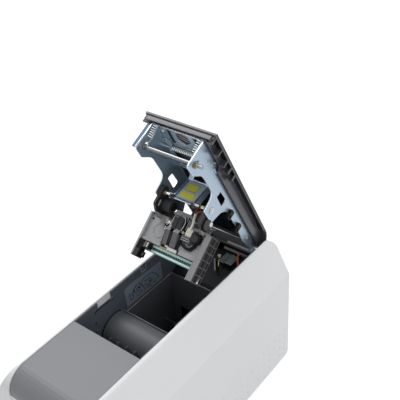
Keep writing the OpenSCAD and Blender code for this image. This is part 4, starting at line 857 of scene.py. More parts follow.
@dataclass
class LidFrame(Assembly):
    """Plated steel frame of the lid: cut edges, springs, clips, screws and folds.

    Attributes: half width and thickness of the sheet, and the plate's height; places in u and w of the
    latch shaft, the head's pivot and the rod of the long spring; place in x and u of a latch spring with
    its wire, coil radius and turns, and the same of the long spring, whose ends are places in x; reach of
    the rim strips out of a cut edge and into it, and lift, how far trim stands off its sheet; span in
    radians, bore, wall, thickness and ear of a retaining clip; height of the plate behind the leaf-shaped
    hole, and number and step of its strokes; outlines of flange, leaf and window.
    """

    body: ClassVar[str] = "lid"
    space: ClassVar[Space] = LID
    half: float = 39.5
    sheet: float = 1.5
    plate_w: float = 17.0
    latch: Place = (238.5, -11.5)
    pivot: Place = PIVOT
    spring_rod: Place = (208.5, 13.2)
    spring_at: Place = (33.4, 248.6)
    wire: float = 0.5
    coil: float = 3.5
    turns: float = 6.0
    rod_r: float = 1.5
    long_wire: float = 0.8
    long_coil: float = 2.3
    long_turns: float = 21.0
    long_ends: Place = (-24.0, 34.0)
    rim_out: float = 0.06
    rim_in: float = 0.25
    lift: float = 0.03
    clip_span: float = 2.3
    clip_bore: float = 2.45
    clip_wall: float = 1.3
    clip_thick: float = 0.7
    clip_ear: float = 0.8
    leaf_w: float = 19.4
    leaf_strokes: int = 4
    leaf_step: float = 6.0
    flange: Corners = (
        (3, 6.4, 0), (10.6, 5, 1), (14.4, 10.5, 1), (30, 18.5, 3), (250, 18.5, 2), (250, 6, 10),
        (249, -22.2, 3), (230, -22.3, 3), (214, -10.3, 18), (172.5, -10.3, 11), (168.3, -34.2, 3),
        (141.3, -34, 4), (133, -5, 20), (104, -5, 30), (77, -4.6, 30), (48, -7, 12), (24, -2.5, 8),
        (3, -7.6, 3))
    leaf: Outline = ((-9, 240.4), (2.4, 245.4), (9.8, 241.8), (10.9, 228.3), (-1.1, 219.7), (-10.4, 226.7))
    window: Corners = ((163.8, -8.1, 2), (162, 1.6, 2), (141, 2.2, 2), (141.2, -9.2, 2))

    def _edge(self, piece: Piece, outline: np.ndarray, axis: int, lo: float, hi: float) -> None:
        """Carries a thin bright strip round a sheet's cut edge, bare steel with a painted highlight: the
        outline set a little out, and back in.
        """
        d = np.roll(outline, -1, 0) - np.roll(outline, 1, 0)
        n = np.column_stack((d[:, 1], -d[:, 0])) / np.linalg.norm(d, axis=1, keepdims=True)
        rings = np.empty((len(outline), 4, 3))
        out, back = self.rim_out, -self.rim_in
        for k, (step, at) in enumerate(((out, lo), (out, hi), (back, hi), (back, lo))):
            rings[:, k, others(axis)] = outline + n * step
            rings[:, k, axis] = at
        piece.grid(rings, BARE_EDGE_AND_HIGHLIGHT, loop=True)

    def cut_edge_highlights(self) -> None:
        """Makes the bright strips, bare steel with a painted highlight, on the flanges' cut edges and round
        their windows and the leaf.
        """
        piece = self.piece("frame_cut_edge_highlights", "lid_steel")
        for side in (-1, 1):
            lo, hi = span(side, self.half - self.sheet - self.lift, self.half + self.lift)
            self._edge(piece, rounded(self.flange)[::-1], X, lo, hi)
            self._edge(piece, rounded(self.window), X, lo, hi)
        lo, hi = self.plate_w - self.lift, self.plate_w + self.sheet + self.lift
        self._edge(piece, np.array(self.leaf), Z, lo, hi)
        piece.done()

    def leaf_plate(self) -> None:
        """Makes the grey plate behind the leaf-shaped hole with its slanted dark strokes."""
        piece = self.piece("leaf_ribs", "lid_plastic")
        piece.box((-12, 217, self.leaf_w), (12, 247, self.leaf_w + 0.6), LEAF_GREY)
        for k in range(self.leaf_strokes):
            rise = self.leaf_step * k
            piece.stroke(((-11, 226 + rise), (11, 219 + rise)), Z, self.leaf_w, 1.7, -0.3, INK)
        piece.done()

    def latch_springs(self) -> None:
        """Makes both tension springs from the frame's end tabs to the latch shaft, with hooked ends."""
        piece = self.piece("latch_spring_coils", "bright_steel")
        x, u = self.spring_at
        for side in (-1, 1):
            top, low = (side * x, u - 0.6, self.plate_w - 2.0), (side * x, u - 4.4, -1.6)
            piece.tube(helix(top, low, self.coil, self.turns), self.wire, SPRING, 8)
            tail = ((low[0] + self.coil, low[1], low[2]), (low[0] + 1.6, low[1] - 1.4, low[2] - 3.4),
                    (low[0] + 0.4, self.latch[0] + 3.1, self.latch[1] + 3.4))
            piece.tube(smooth_path(tail), 0.35, BRIGHT, 8)
        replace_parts(piece.done(), "latch_springs")

    def long_spring(self) -> None:
        """Makes the coil along the rod behind the latch, with the rod's ends and its round clip."""
        piece = self.piece("long_spring_coil", "bright_steel")
        u, w = self.spring_rod
        start, end = ((x, u, w) for x in self.long_ends)
        rod = [(-self.half - 1.0, self.rod_r), (self.half + 2.2, self.rod_r)]
        piece.turned(rod, (0, u, w), X, BRIGHT, 16)
        piece.tube(helix(start, end, self.long_coil, self.long_turns), self.long_wire, SPRING, 8)
        piece.turned([(self.half, 3.0), (self.half + 0.8, 3.0)], (0, u, w), X, YELLOW_ZINC)
        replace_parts(piece.done(), "spring_rod")

    def _clip(self, piece: Piece, x: float, at: Place) -> None:
        """Makes an open retaining clip: a three-quarter ring of flat section with two ears."""
        bore, thick, ear = self.clip_bore, self.clip_thick, self.clip_ear
        rim = bore + self.clip_wall
        t = np.linspace(-self.clip_span, self.clip_span, 26)
        ring = np.empty((len(t), 4, 3))
        for k, (r, dx) in enumerate(((bore, 0.0), (rim, 0.0), (rim, thick), (bore, thick))):
            ring[:, k, X] = x + dx
            ring[:, k, Y], ring[:, k, Z] = at[0] + r * np.cos(t), at[1] + r * np.sin(t)
        piece.grid(ring, YELLOW_ZINC)
        for a in (-self.clip_span, self.clip_span):
            u, w = at[0] + (bore + 0.7) * math.cos(a), at[1] + (bore + 0.7) * math.sin(a)
            piece.box((x - 0.1, u - ear, w - ear), (x + 0.8, u + ear, w + ear), YELLOW_ZINC)

    def clips(self) -> None:
        """Makes the zinc clips on the pivot rod, and those on the latch shaft with dark lines along it, a
        painted reflection.
        """
        piece = self.piece("pivot_clips", "bright_steel")
        for x in (self.half - 5.1, -self.half + 4.9):
            self._clip(piece, x, self.pivot)
        piece.done()
        shaft = self.piece("latch_clips", "bright_steel", body="latch")
        for x in (self.half + 1.4, self.half - 3.6, -self.half - 2.3, -self.half + 2.8):
            self._clip(shaft, x, self.latch)
        for side in (-1, 1):
            shaft.turned([(side * 42, 2.62), (side * 43.6, 2.62)], (0, *self.latch), X, BRASS, 16)
        # dark lines along the shaft: painted reflection on the polished rod
        for degrees, radius in ((-45.0, 0.42), (-82.0, 0.5)):
            u = self.latch[0] + 2.4 * math.cos(math.radians(degrees))
            w = self.latch[1] + 2.4 * math.sin(math.radians(degrees))
            shaft.tube(((-35.0, u, w), (35.0, u, w)), radius, STEEL_BLUE, 8)
        shaft.done()

    def small_fixings(self) -> None:
        """Makes screw washers, the ring and stud on each flange and the tab inside it."""
        piece = self.piece("frame_fixings", "bright_steel")
        for x, u in PLATE_SCREWS:
            piece.turned([(self.plate_w - 0.5, 3.7), (self.plate_w + 0.05, 3.7)], (x, u, 0), Z, BRIGHT, 20)
        for side in (-1, 1):
            face = side * self.half
            ring = [(face, 3.3), (face + side * 0.5, 3.3), (face + side * 0.6, 2.6)]
            piece.turned(ring, (0, *self.pivot), X, STEEL_BLUE)
            piece.turned([(face, 1.5), (face + side * 0.7, 1.2)], (0, 222, 6), X, BRIGHT, 16)
            lo, hi = span(side, self.half - self.sheet - 1.2, self.half - self.sheet)
            piece.box((lo, 216, -4), (hi, 224, -1.5), BLUE_ZINC)
        piece.done()

    def plate_folds(self) -> None:
        """Makes the plate's lit folds as painted highlights, its dark slots, the lit bars at its end as
        painted highlights, and the blue folds and tabs, the pale ones a painted highlight on lit folds.
        """
        piece = self.piece("plate_folds", "lid_steel")
        w = self.plate_w
        # painted highlight along the lit folds
        for u in (210.4, 164.6, 157.4, 129.6):
            piece.tube(((-34.0, u, w + 0.2), (34.0, u, w + 0.2)), 0.5, BARE_EDGE_AND_HIGHLIGHT, 8)
        for line, wide in (
            (((-18.8, 242.6), (-20.1, 217.0)), 4.9),
            (((20.9, 242.8), (21.4, 227.9)), 4.6),
            (((-29.8, 248.6), (31.0, 248.6)), 3.9),
            (((-31.0, 156.6), (-31.0, 130.4)), 12.0),
        ):
            piece.stroke(line, Z, w - 0.02, wide, -0.08, INK)
        # painted highlight: lit bars and edge in the gap at the plate's end
        bars = ((-17.0, 1.4), (-9.0, 0.7), (-5.0, 0.7), (-1.0, 0.7), (3.0, 0.7), (7.0, 0.7), (11.0, 1.4))
        for x, wide in bars:
            piece.box((x, 246.8, w - 0.3), (x + wide, 250.4, w - 0.05), RAIL_LIT)
        piece.tube(((-29.8, 246.4, w - 0.1), (37.6, 246.4, w - 0.1)), 0.5, BARE_EDGE_AND_HIGHLIGHT, 8)
        piece.box((-44.4, 248.6, -21.0), (-39.5, 250.0, 14.0), FOLD_BLUE)
        # painted highlight along the blue fold
        piece.tube(((-39.2, 250.0, -21.6), (-39.2, 250.0, -1.0)), 0.55, BARE_EDGE_AND_HIGHLIGHT, 8)
        # pale blue tabs: painted highlight on lit folds
        piece.boxes(
            ((-37.8, 204.0, 15.4), (-25.2, 220.5, 16.4), FOLD_HIGHLIGHT_BLUE),
            ((-26.4, 204.5, 10.2), (-25.2, 212.5, 15.6), FOLD_HIGHLIGHT_BLUE),
        )
        for x, u in ((-33.6, 214.0), (-31.0, 208.4)):
            piece.turned([(15.5, 1.5), (15.0, 1.5), (14.7, 0.9)], (x, u, 0), Z, BRIGHT, 14)
        piece.done()

    def build(self) -> None:
        """Builds every piece of the frame."""
        self.cut_edge_highlights()
        self.leaf_plate()
        self.latch_springs()
        self.long_spring()
        self.clips()
        self.small_fixings()
        self.plate_folds()


@dataclass
class HeadBracket(Assembly):
    """Sheet steel bracket over the print head with its bare label field.

    Attributes: half widths of the bracket and of its label field; the face's low and top end in u and w;
    place of the rod, its radius and half length; thickness of the sheet and width of a foot; outlines of
    the side wall, its hook and the foot.
    """

    body: ClassVar[str] = "lid"
    space: ClassVar[Space] = LID
    half: float = 17.6
    field_half: float = 14.2
    low: Place = (161.6, -29.0)
    top: Place = (153.1, 7.0)
    rod_at: Place = (163.6, -27.4)
    rod_r: float = 1.9
    rod_half: float = 27.0
    sheet_t: float = 1.4
    foot_w: float = 7.6
    wall: Outline = ((162, -29.6), (153.5, 7), (146, 7), (150, -16), (156, -29))
    hook: Outline = ((156, -29), (162, -24), (169.6, -29), (167.4, -32.2), (160, -32))
    foot: Outline = ((153.6, 5), (151.4, 5), (158.4, 17), (165, 17), (165, 15.4), (159.6, 15.4))

    def _on_face(self, x: float, t: float, off: float) -> Triple:
        """Returns the place at x, share t up the face and off millimetres out of it."""
        du, dw = self.top[0] - self.low[0], self.top[1] - self.low[1]
        n = math.hypot(du, dw)
        return (x, self.low[0] + du * t + off * dw / n, self.low[1] + dw * t - off * du / n)

    def _panel(self, piece: Piece, low: Place, high: Place, off: Place, fin: Finish) -> None:
        """Lays a thin plate on the face: between two corners in x and t, and two heights off the face."""
        corners = (low, (high[0], low[1]), high, (low[0], high[1]))
        piece.grid(np.array([[self._on_face(x, t, out) for x, t in corners] for out in off]), fin)

    def label(self) -> None:
        """Makes the bare label field: a pale sheet with a thin line round it and two plain yellow patches."""
        piece = self.piece("bracket_label_field", "lid_steel")
        h = self.field_half
        self._panel(piece, (-h, 0.08), (h, 0.92), (0.02, 0.16), LABEL_LINE)
        self._panel(piece, (-h + 0.5, 0.09), (h - 0.5, 0.91), (0.1, 0.2), LABEL_BLUE)
        self._panel(piece, (-h + 2.6, 0.5), (h - 8.0, 0.83), (0.15, 0.24), LABEL_LINE)
        self._panel(piece, (-h + 3.1, 0.515), (h - 8.5, 0.815), (0.2, 0.28), YELLOW)
        self._panel(piece, (-h + 2.6, 0.17), (h - 4.4, 0.42), (0.15, 0.26), YELLOW)
        piece.done()

    def sheet(self) -> None:
        """Makes the bent sheet: face, side walls with their hooks, feet and the two rod stubs."""
        piece = self.piece("bracket_sheet", "lid_steel")
        h, rod = self.half, (0, *self.rod_at)
        self._panel(piece, (-h, 0.0), (h, 1.0), (-1.5, 0.0), BLUE_ZINC)
        for side in (-1, 1):
            wall = span(side, h - self.sheet_t, h)
            piece.prism(self.wall, X, *wall, BLUE_ZINC)
            piece.prism(self.hook, X, *wall, STEEL_BLUE)
            piece.prism(self.foot, X, *span(side, h - self.foot_w, h), BLUE_ZINC)
            for near, far, radius, fin in (
                (h - 0.2, self.rod_half, self.rod_r, BRIGHT),
                (self.rod_half - 1.0, self.rod_half - 0.2, self.rod_r + 1.0, YELLOW_ZINC),
            ):
                piece.turned([(side * near, radius), (side * far, radius)], rod, X, fin)
        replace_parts(piece.done(0.3), "head_bracket")

    def edges(self) -> None:
        """Makes the rolled top edge and the lower fold as bright rounds, painted highlights, and the strips
        down both sides, dark ones as painted shade and a pale one as painted highlight on the folds.
        """
        piece = self.piece("bracket_folds", "lid_steel")
        h = self.half
        # bright rounds: painted highlight on the rolled edge and the lower fold
        for t, off, radius in ((1.0, -0.2, 0.8), (0.0, 0.1, 0.55)):
            piece.tube([self._on_face(x, t, off) for x in (-h, h)], radius, BARE_EDGE_AND_HIGHLIGHT)
        # dark strips: painted shade, pale strip: painted highlight, where the sides fold
        self._panel(piece, (-h, 0.03), (-h + 2.2, 0.97), (0.02, 0.12), STEEL_BLUE)
        self._panel(piece, (h - 2.4, 0.03), (h - 1.6, 0.97), (0.02, 0.14), STEEL_BLUE)
        self._panel(piece, (h - 1.5, 0.02), (h, 0.98), (0.02, 0.14), FOLD_HIGHLIGHT_BLUE)
        piece.done()

    def build(self) -> None:
        """Builds the bracket's pieces."""
        self.sheet()
        self.label()
        self.edges()


@dataclass
class LidCover(Assembly):
    """Moulded cover of the lid: roof, stepped end lip, side walls, webs and pockets.

    Attributes: half width, length and top of the roof, its skin, the radius of its bend and the place of
    its heel; foot and half width of the end lip; inner and outer face of a channel wall; foot of the webs
    and their thickness; distances from the free end of the webs and of the round hollows; wall of a
    hollow and its depth as a share of its radius; places of the screw posts in x and u.
    """

    body: ClassVar[str] = "lid"
    space: ClassVar[Space] = LID
    half: float = 52.8
    length: float = 254.8
    top: float = 26.5
    skin: float = 2.4
    bend: float = 25.0
    heel: float = 7.0
    lip_w: float = 16.0
    lip_half: float = 47.5
    wall: Place = (42.0, 44.0)
    web_w: float = 13.6
    web_t: float = 1.5
    webs: tuple[float, ...] = (51.0, 28.4, 5.0)
    hollows: tuple[float, ...] = (62.5, 78.0)
    hollow_wall: float = 0.9
    hollow_deep: float = 1.6
    screws: Outline = PLATE_SCREWS + ((-32, 40), (32, 40))

    def _roof_outline(self) -> np.ndarray:
        """Returns the roof's section in u and w: flat, an arc down to the heel, and back a skin inside."""
        t = np.radians(np.linspace(90, 165, 14))[:, None]
        centre = np.array((self.heel + self.bend, self.top - self.bend))
        way = np.hstack((np.cos(t), np.sin(t)))
        outer, inner = centre + self.bend * way, centre + (self.bend - self.skin) * way
        end = self.length - 0.5
        return np.vstack(([(end, self.top)], outer, inner[::-1], [(end, self.top - self.skin)]))

    def shell(self) -> None:
        """Makes the roof, the long side walls, the lit edges inside the roof, the painted shade in the side
        channels and the screw posts.
        """
        piece = self.piece("lid_cover_shell", "lid_plastic")
        piece.prism(self._roof_outline(), X, -self.half, self.half, COVER)
        low, high = self.top - self.skin - 0.2, self.top - self.skin + 0.4
        end = self.length - 1
        wall = ((197, 8.5), (30, 8.5), (14, 5.5), (12, 16), (20, 23), (32, high), (end - 1, high),
                (end - 1, 14.6), (201, 14.6))
        edge = ((34, low - 1.0), (end, low - 1.0), (end, high), (34, high))
        for side in (-1, 1):
            piece.prism(wall, X, *span(side, *self.wall), WALL_SHEEN)
            piece.prism(edge, X, *span(side, self.half - 1.3, self.half - 0.3), RIB_LIT)
            # painted shade: dark sheet in the channel under the roof
            lo, hi = span(side, self.wall[1] - 0.3, self.half - 2.6)
            piece.box((lo, 34, low - 0.8), (hi, end - 3, low), INK)
        for x, u in self.screws:
            piece.turned([(18.6, 3.4), (high, 3.4)], (x, u, 0), Z, COVER, 20)
        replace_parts(piece.done(0.25), "lid_cover")

    def pockets(self) -> None:
        """Makes the webs across both side channels: straight ones and two with a round hollow."""
        piece = self.piece("cover_side_pockets", "lid_plastic")
        low, high = self.web_w, self.top - self.skin + 0.2
        t = np.linspace(0, math.pi, 12)
        for side in (-1, 1):
            lo, hi = span(side, self.wall[1] - 0.2, self.half - 1.0)
            rim_lo, rim_hi = span(side, self.half - 1.0, self.half - 0.7)
            for d in self.webs:
                u = self.length - d
                near, far = u - 0.05, u + self.web_t + 0.05
                piece.boxes(
                    ((lo, u, low), (hi, u + self.web_t, high), COVER),
                    ((lo, near, low - 0.35), (hi, far, low + 0.1), RIB_LIT),
                    ((rim_lo, near, low), (rim_hi, far, high), RIB_LIT),
                )
            mid, outer_r = side * (self.wall[1] + self.half) / 2, (self.half - self.wall[1]) / 2
            way = np.column_stack((np.cos(t), -self.hollow_deep * np.sin(t)))
            for d in self.hollows:
                u = self.length - d
                inner, outer = (mid, u) + (outer_r - self.hollow_wall) * way, (mid, u - 0.6) + outer_r * way
                ring = np.vstack((inner, outer[::-1]))
                piece.prism(ring, Z, low + 1.4, high, COVER)
                piece.prism(ring, Z, low + 1.0, low + 1.5, RIB_LIT)
        piece.done(0.15)

    def end_lip(self) -> None:
        """Makes the stepped lip along the free end: a light lower band, a dark groove and the roof's rim; the
        dark strips at the band's foot and in the groove are painted shade.
        """
        piece = self.piece("cover_end_lip", "lid_plastic")
        end, top, low = self.length, self.top, self.lip_w
        band = ((end - 4.0, low, 0.4), (end, low + 0.3, 0.6), (end, top - 5.2, 0.4),
                (end - 1.2, top - 4.4, 0.3), (end - 1.2, top - 2.0, 0), (end - 4.0, top - 2.0, 0))
        piece.prism(rounded(band), X, -self.lip_half, self.lip_half, END_BAND)
        rim = ((end - 3.0, top - 2.9, 0.2), (end, top - 2.9, 0.5), (end, top, 0.6), (end - 3.0, top, 0.2))
        piece.prism(rounded(rim), X, -self.half, self.half, END_BAND)
        # painted shade: dark strips in the gap at the band's foot and in the groove
        piece.boxes(
            ((-40.0, end - 3.9, low - 0.1), (self.lip_half - 1.0, end - 0.5, low + 0.2), INK),
            ((-self.lip_half - 0.5, end - 1.3, top - 4.4), (self.lip_half + 0.5, end - 0.9, top - 2.9), INK),
        )
        for side in (-1, 1):
            lo, hi = span(side, self.lip_half - 0.4, self.half - 1.4)
            piece.box((lo, end - 3.6, low + 2.4), (hi, end - 2.2, top - 2.2), COVER)
        piece.done(0.12)

    def build(self) -> None:
        """Builds the cover's pieces."""
        self.shell()
        self.pockets()
        self.end_lip()


@dataclass
class PrintHead(Assembly):
    """Print head: glazed bar, latch block, clips, wires, plug, arms and rail.

    Attributes: half length of the bar, its upper edge down the carrier and the height of its face; number
    of its slanted ticks and their lean, width over height; half width and height of the carrier; number
    and step of the rail's ribs; radii and places of the arms' round caps and drum; outlines of the tower,
    of a column and of an arm's rim.
    """

    body: ClassVar[str] = "head"
    space: ClassVar[Space] = CARRIER
    bar_half: float = 37.8
    bar_s: float = 38.5
    bar_n: float = -5.6
    ticks: int = 22
    tick_lean: float = 1.2
    half: float = 50.5
    height: float = 62.3
    rail_painted_highlights: int = 7
    rail_step: float = 10.0
    cap: Place = (2.0, -18.6)
    pin: Place = (8.4, -17.6)
    drum: Place = (8.6, -15.0)
    tower: Corners = ((-10.0, 0, 0), (-10.0, 9, 1), (1.5, 9.6, 1), (8.0, 7.0, 3.2), (8.0, 0, 0))
    column: Outline = ((0, 14.6), (8.8, 15.0), (8.4, 18.0), (3.8, 33.6), (0, 34.0))
    arm_rim: Corners = ((-7, 8.5, 3), (4, 7.5, 4), (8, -2, 6), (13.4, -27, 2), (6.4, -35, 2), (-2, -32, 2),
                        (-15, -16, 5), (-10, -2, 4))

    def bar_face(self) -> None:
        """Makes the bar's face: two pale glazed bands, a dark track between them and its slanted ticks."""
        piece = self.piece("bar_face", "bar_teal")
        n, s, h = self.bar_n, self.bar_s, self.bar_half
        piece.boxes(
            ((-h, n + 0.4, s + 0.5), (h, n + 0.95, s + 3.5), MINT),
            ((-h, n + 0.4, s + 7.0), (h, n + 0.95, s + 9.7), MINT),
            ((-h, n - 0.3, s + 3.7), (h, n + 0.75, s + 6.8), TRACK),
            ((-h, n + 0.4, s + 9.9), (h, n + 1.1, s + 10.6), SILVER_GREY),
            ((-h, n + 0.4, s + 0.4), (-h + 3.4, n + 1.06, s + 3.6), TEAL),
            ((-h, n + 0.4, s + 6.9), (-h + 3.4, n + 1.06, s + 9.8), TEAL),
            ((-h, n - 2.0, s - 0.6), (h, n + 0.6, s + 0.3), TRACK),
        )
        step = (2 * h - 5.2) / self.ticks
        rows = ((3.9, 6.7, 0.8, 0.82, TICK), (0.7, 3.4, 1.5, 1.0, BAR_LIT), (7.2, 9.6, 1.5, 1.0, BAR_LIT))
        for k in range(self.ticks):
            a = -h + 0.6 + k * step
            for lo, hi, wide, top, fin in rows:
                b = a + (hi - lo) * self.tick_lean
                tick = ((a, s + lo), (a + wide, s + lo), (b + wide, s + hi), (b, s + hi))
                piece.prism(tick, Y, n + 0.7, n + top, fin)
        piece.done()

    def _tower(self, piece: Piece) -> None:
        """Adds the latch block's tower with its two lids, and the ribs, foot and steps round it."""
        piece.prism(rounded(self.tower), Z, -7.0, 6.0, BLACK)
        near = ((-9.2, 2.0, 0), (-9.2, 10.4, 0.8), (-2.6, 10.4, 0.8), (-2.6, 2.0, 0))
        piece.prism(rounded(near), Z, -5.6, 10.6, DARK_TOP)
        far = ((-1.6, 2.0, 0), (-1.6, 9.9, 0.8), (3.2, 9.6, 3), (6.4, 6.6, 3), (6.4, 2.0, 0))
        piece.prism(rounded(far), Z, -7.6, 9.0, DARK_TOP)
        for x, top in ((7.6, -9.5), (10.6, -8.5), (13.0, -7.5)):
            piece.box((x, 0.0, top), (x + 1.5, 7.0, 7.0), BLACK)
        piece.boxes(
            ((7.0, 0.0, 2.0), (14.8, 6.2, 9.0), BLACK),
            ((-12.4, 0.0, -4.0), (-10.4, 8.0, 11.0), DARK_TOP),
            ((-22.0, 0.0, 2.0), (-12.0, 4.6, 10.6), BLACK),
            ((-22.6, 0.0, 1.4), (-20.8, 6.4, 9.0), DARK_TOP),
            ((-19.6, 3.6, 9.0), (-12.4, 8.2, 14.2), BLACK),
        )

    def _columns(self, piece: Piece) -> None:
        """Adds the grey columns below the tower, the dark gaps between them as painted shade in the recesses,
        and their caps in lighter grey as painted highlight on the lit tops.
        """
        column = np.array(self.column)
        # INK rows: painted shade in the recesses between the columns
        for lo, hi, deep, fin in (
            (-17.4, -15.0, 0.5, INK),
            (-14.0, -7.8, 1.0, COLUMN),
            (-7.2, -3.2, 0.5, INK),
            (-2.6, 5.6, 1.0, COLUMN),
            (6.4, 9.6, 0.5, INK),
            (-15.0, -14.4, 1.05, COLUMN),
            (-5.5, -4.9, 0.9, DARK_TOP),
        ):
            piece.prism(column * (deep, 1.0), X, lo, hi, fin)
        piece.box((-16.2, 0.0, 12.0), (9.4, 3.0, 16.0), BLACK)
        # painted highlight on the lit tops of the columns
        for lo, hi in ((-13.8, -7.8), (-2.6, 5.6)):
            piece.prism(((7.0, 7.2), (10.2, 14.4), (8.9, 15.2), (6.4, 9.0)), X, lo, hi, RAIL_LIT)

    def _flange(self, piece: Piece) -> None:
        """Adds the flange right of the columns with its boss and comb, and the lit box with its slots."""
        outer = ((7.6, 20.0, 1), (10.2, 25.0, 1.5), (18.6, 28.6, 1.5), (27.6, 28.6, 2), (33.0, 21.0, 2),
                 (31.6, 15.4, 1), (12.0, 15.4, 1))
        piece.prism(rounded(outer), Y, 0.0, 2.4, BLACK)
        inner = ((11.4, 18.4, 1), (13.4, 22.6, 1.5), (20.0, 25.6, 1.5), (26.0, 25.4, 2), (29.6, 19.8, 2),
                 (28.6, 16.0, 1))
        piece.prism(rounded(inner), Y, 2.2, 4.4, DARK_TOP)
        piece.prism(circle(7.6, 10, (29.0, 11.6)), Y, 0.0, 7.2, BLACK)
        piece.prism(circle(5.2, 20, (28.6, 11.8)), Y, 7.0, 8.8, DARK_TOP)
        for k in range(4):
            piece.box((33.0, 1.0, 3.6 + k * 3.4), (36.6, 7.6 - k * 0.6, 5.2 + k * 3.4), BLACK)
        # painted highlight: the lit face of the box
        piece.box((9.0, 0.0, 13.0), (22.8, 5.2, 19.6), RAIL_LIT)
        for s in (14.2, 17.2):
            piece.box((10.2, 5.0, s), (21.6, 5.7, s + 1.1), INK)
            piece.box((10.2, 5.0, s + 1.2), (21.6, 5.8, s + 1.6), SILK)

    def _lit_edges(self, piece: Piece) -> None:
        """Adds the curved guide and the lit lines along the block's edges, painted highlights."""
        guide = ((1.4, -7.8), (6.2, -6.6), (8.6, -1.0), (8.2, 5.0), (7.4, 9.6))
        piece.stroke(guide, Y, 3.0, 1.5, 6.8, BLACK)
        for line, at, wide, thick, fin in (
            (guide, 9.7, 0.8, 0.3, SILVER_LIT),
            (((8.3, -9.0), (8.3, 6.4)), 6.9, 0.6, 0.3, SILVER_LIT),
            (((11.3, -8.0), (11.3, 6.4)), 6.9, 0.6, 0.3, SILVER_LIT),
            (((13.7, -7.0), (13.7, 6.4)), 6.9, 0.6, 0.3, SILVER_LIT),
            (((-11.4, -3.6), (-11.4, 10.6)), 7.9, 0.9, 0.3, SILVER_LIT),
            (((-21.6, 1.8), (-21.6, 8.6)), 6.3, 0.7, 0.3, SILVER_LIT),
            (((-9.0, -5.2), (-2.8, -5.2)), 10.3, 0.5, 0.25, CARRIER_LIT),
            (((18.8, 21.9), (24.5, 24.6), (28.9, 21.4)), 4.3, 0.7, 0.3, CARRIER_LIT),
        ):
            piece.stroke(line, Y, at, wide, thick, fin)

    def latch_block(self) -> None:
        """Makes the black latch block: tower, columns, flange, lit edges and the housing at the bar's end."""
        piece = self.piece("head_latch_block", "black_plastic")
        self._tower(piece)
        self._columns(piece)
        self._flange(piece)
        self._lit_edges(piece)
        s = self.bar_s - 0.2
        piece.boxes(
            ((-47.4, -6.0, s), (-38.9, 5.0, self.height), BLACK),
            ((-40.4, -4.4, s), (-29.4, 3.6, 47.6), BLACK),
            ((-38.6, 3.4, 41.2), (-30.2, 4.6, 46.8), DARK_TOP),
            ((-45.8, 5.0, 52.0), (-40.2, 5.8, 61.0), DARK_TOP),
            ((-40.2, -6.0, 52.4), (-35.6, -2.4, 60.4), BLACK),
            ((-38.6, -2.6, 54.0), (-36.6, -1.9, 58.0), SILVER_GREY),
        )
        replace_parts(piece.done(0.3), "head_blocks")

    def bright_clips(self) -> None:
        """Makes the bent sheet clips, the screw, the small spring and the contacts of the latch block."""
        piece = self.piece("head_clips", "bright_steel")
        bends = np.array(((-1.7, -1.0, 1.6), (-1.7, 0.0, -1.4), (-0.3, 0.3, -1.8), (-0.3, 0.3, 1.0),
                          (1.2, 0.3, 1.0), (1.2, 0.0, -1.6)))
        for place in ((-20.0, 6.0, 3.4), (-17.6, 7.0, 7.8), (-15.8, 8.8, 13.6), (-11.4, 9.4, 5.0),
                      (-8.8, 11.2, 9.0), (10.2, 7.4, 10.6)):
            piece.tube(smooth_path(bends + place, 4), 0.4, BRIGHT, 6)
        piece.turned([(4.6, 2.3), (6.6, 2.3), (7.0, 1.6)], (-17.0, 0, 5.4), Y, BRIGHT, 20)
        piece.tube(helix((14.6, 6.2, 12.6), (21.6, 6.0, 13.6), 1.1, 5, 10), 0.35, BRIGHT, 6)
        piece.boxes(
            ((-33.0, 3.6, 39.4), (-31.4, 5.0, 45.6), CREAM),
            ((-36.6, 3.8, 38.8), (-35.4, 5.0, 46.4), SILVER_GREY),
            ((-34.6, 3.8, 39.2), (-34.0, 4.8, 46.0), SILVER_GREY),
        )
        piece.done()

    def cable(self) -> None:
        """Makes the white sleeve, its cream plug and the loose coloured wires."""
        piece = self.piece("head_wiring", "white_sleeve")
        sleeve = ((18.4, 8.6, 7.0), (19.4, 10.6, 3.4), (20.6, 12.0, -3.0), (19.4, 12.8, -10.0),
                  (17.8, 12.2, -16.6))
        piece.tube(smooth_path(sleeve), 1.7, SLEEVE, 14)
        for k, fin in enumerate((SLEEVE, CREAM, SLEEVE, CREAM)):
            x, drop = 14.6 + k * 2.15, 0.3 * (k % 2)
            piece.box((x, 5.0, 2.4 + drop), (x + 1.9, 9.4 - drop, 11.4), fin)
        piece.box((14.4, 4.6, 9.4), (23.4, 8.6, 12.6), CREAM)
        piece.box((16.2, 9.0, 4.4), (21.4, 10.2, 7.4), SLEEVE)
        wire = np.array(((17.8, 12.2, -15.6), (18.8, 11.2, -19.0), (20.6, 9.4, -22.0), (23.4, 7.2, -23.6)))
        for dx, fin in ((-0.9, ORANGE_WIRE), (0.0, RED_WIRE), (0.9, ORANGE_WIRE)):
            piece.tube(smooth_path(wire + (dx, 0.0, 0.0)), 0.55, fin, 8)
        loose = ((13.2, 3.0, -14.0), (12.0, 4.0, -19.0), (11.0, 3.4, -24.0), (12.4, 2.0, -28.0))
        piece.tube(smooth_path(loose), 0.6, RED_WIRE, 8)
        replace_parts(piece.done(0.25), "head_cable")

    def flat_cable(self) -> None:
        """Makes the amber flat cable and the white strips above the bar, with the dark slot round them and
        painted shade in the gap beside the bar.
        """
        piece = self.piece("head_flat_cable", "white_sleeve")
        piece.box((-16.4, -1.6, 33.0), (12.0, 0.12, 38.3), BLACK)
        piece.box((-16.4, -1.0, 37.0), (9.6, 0.9, 38.9), AMBER)
        piece.prism(((-1.0, 34.2), (2.8, 34.2), (1.1, 38.0), (-1.0, 38.0)), X, -5.4, 9.8, SILK)
        piece.prism(((-1.0, 33.4), (4.2, 33.4), (2.2, 35.8), (-1.0, 35.8)), X, -8.6, -4.2, SILK)
        # painted shade: dark line in the gap between the slab and the bar
        piece.box((11.4, -1.0, 38.0), (42.0, 0.5, 38.9), INK)
        piece.done(0.2)

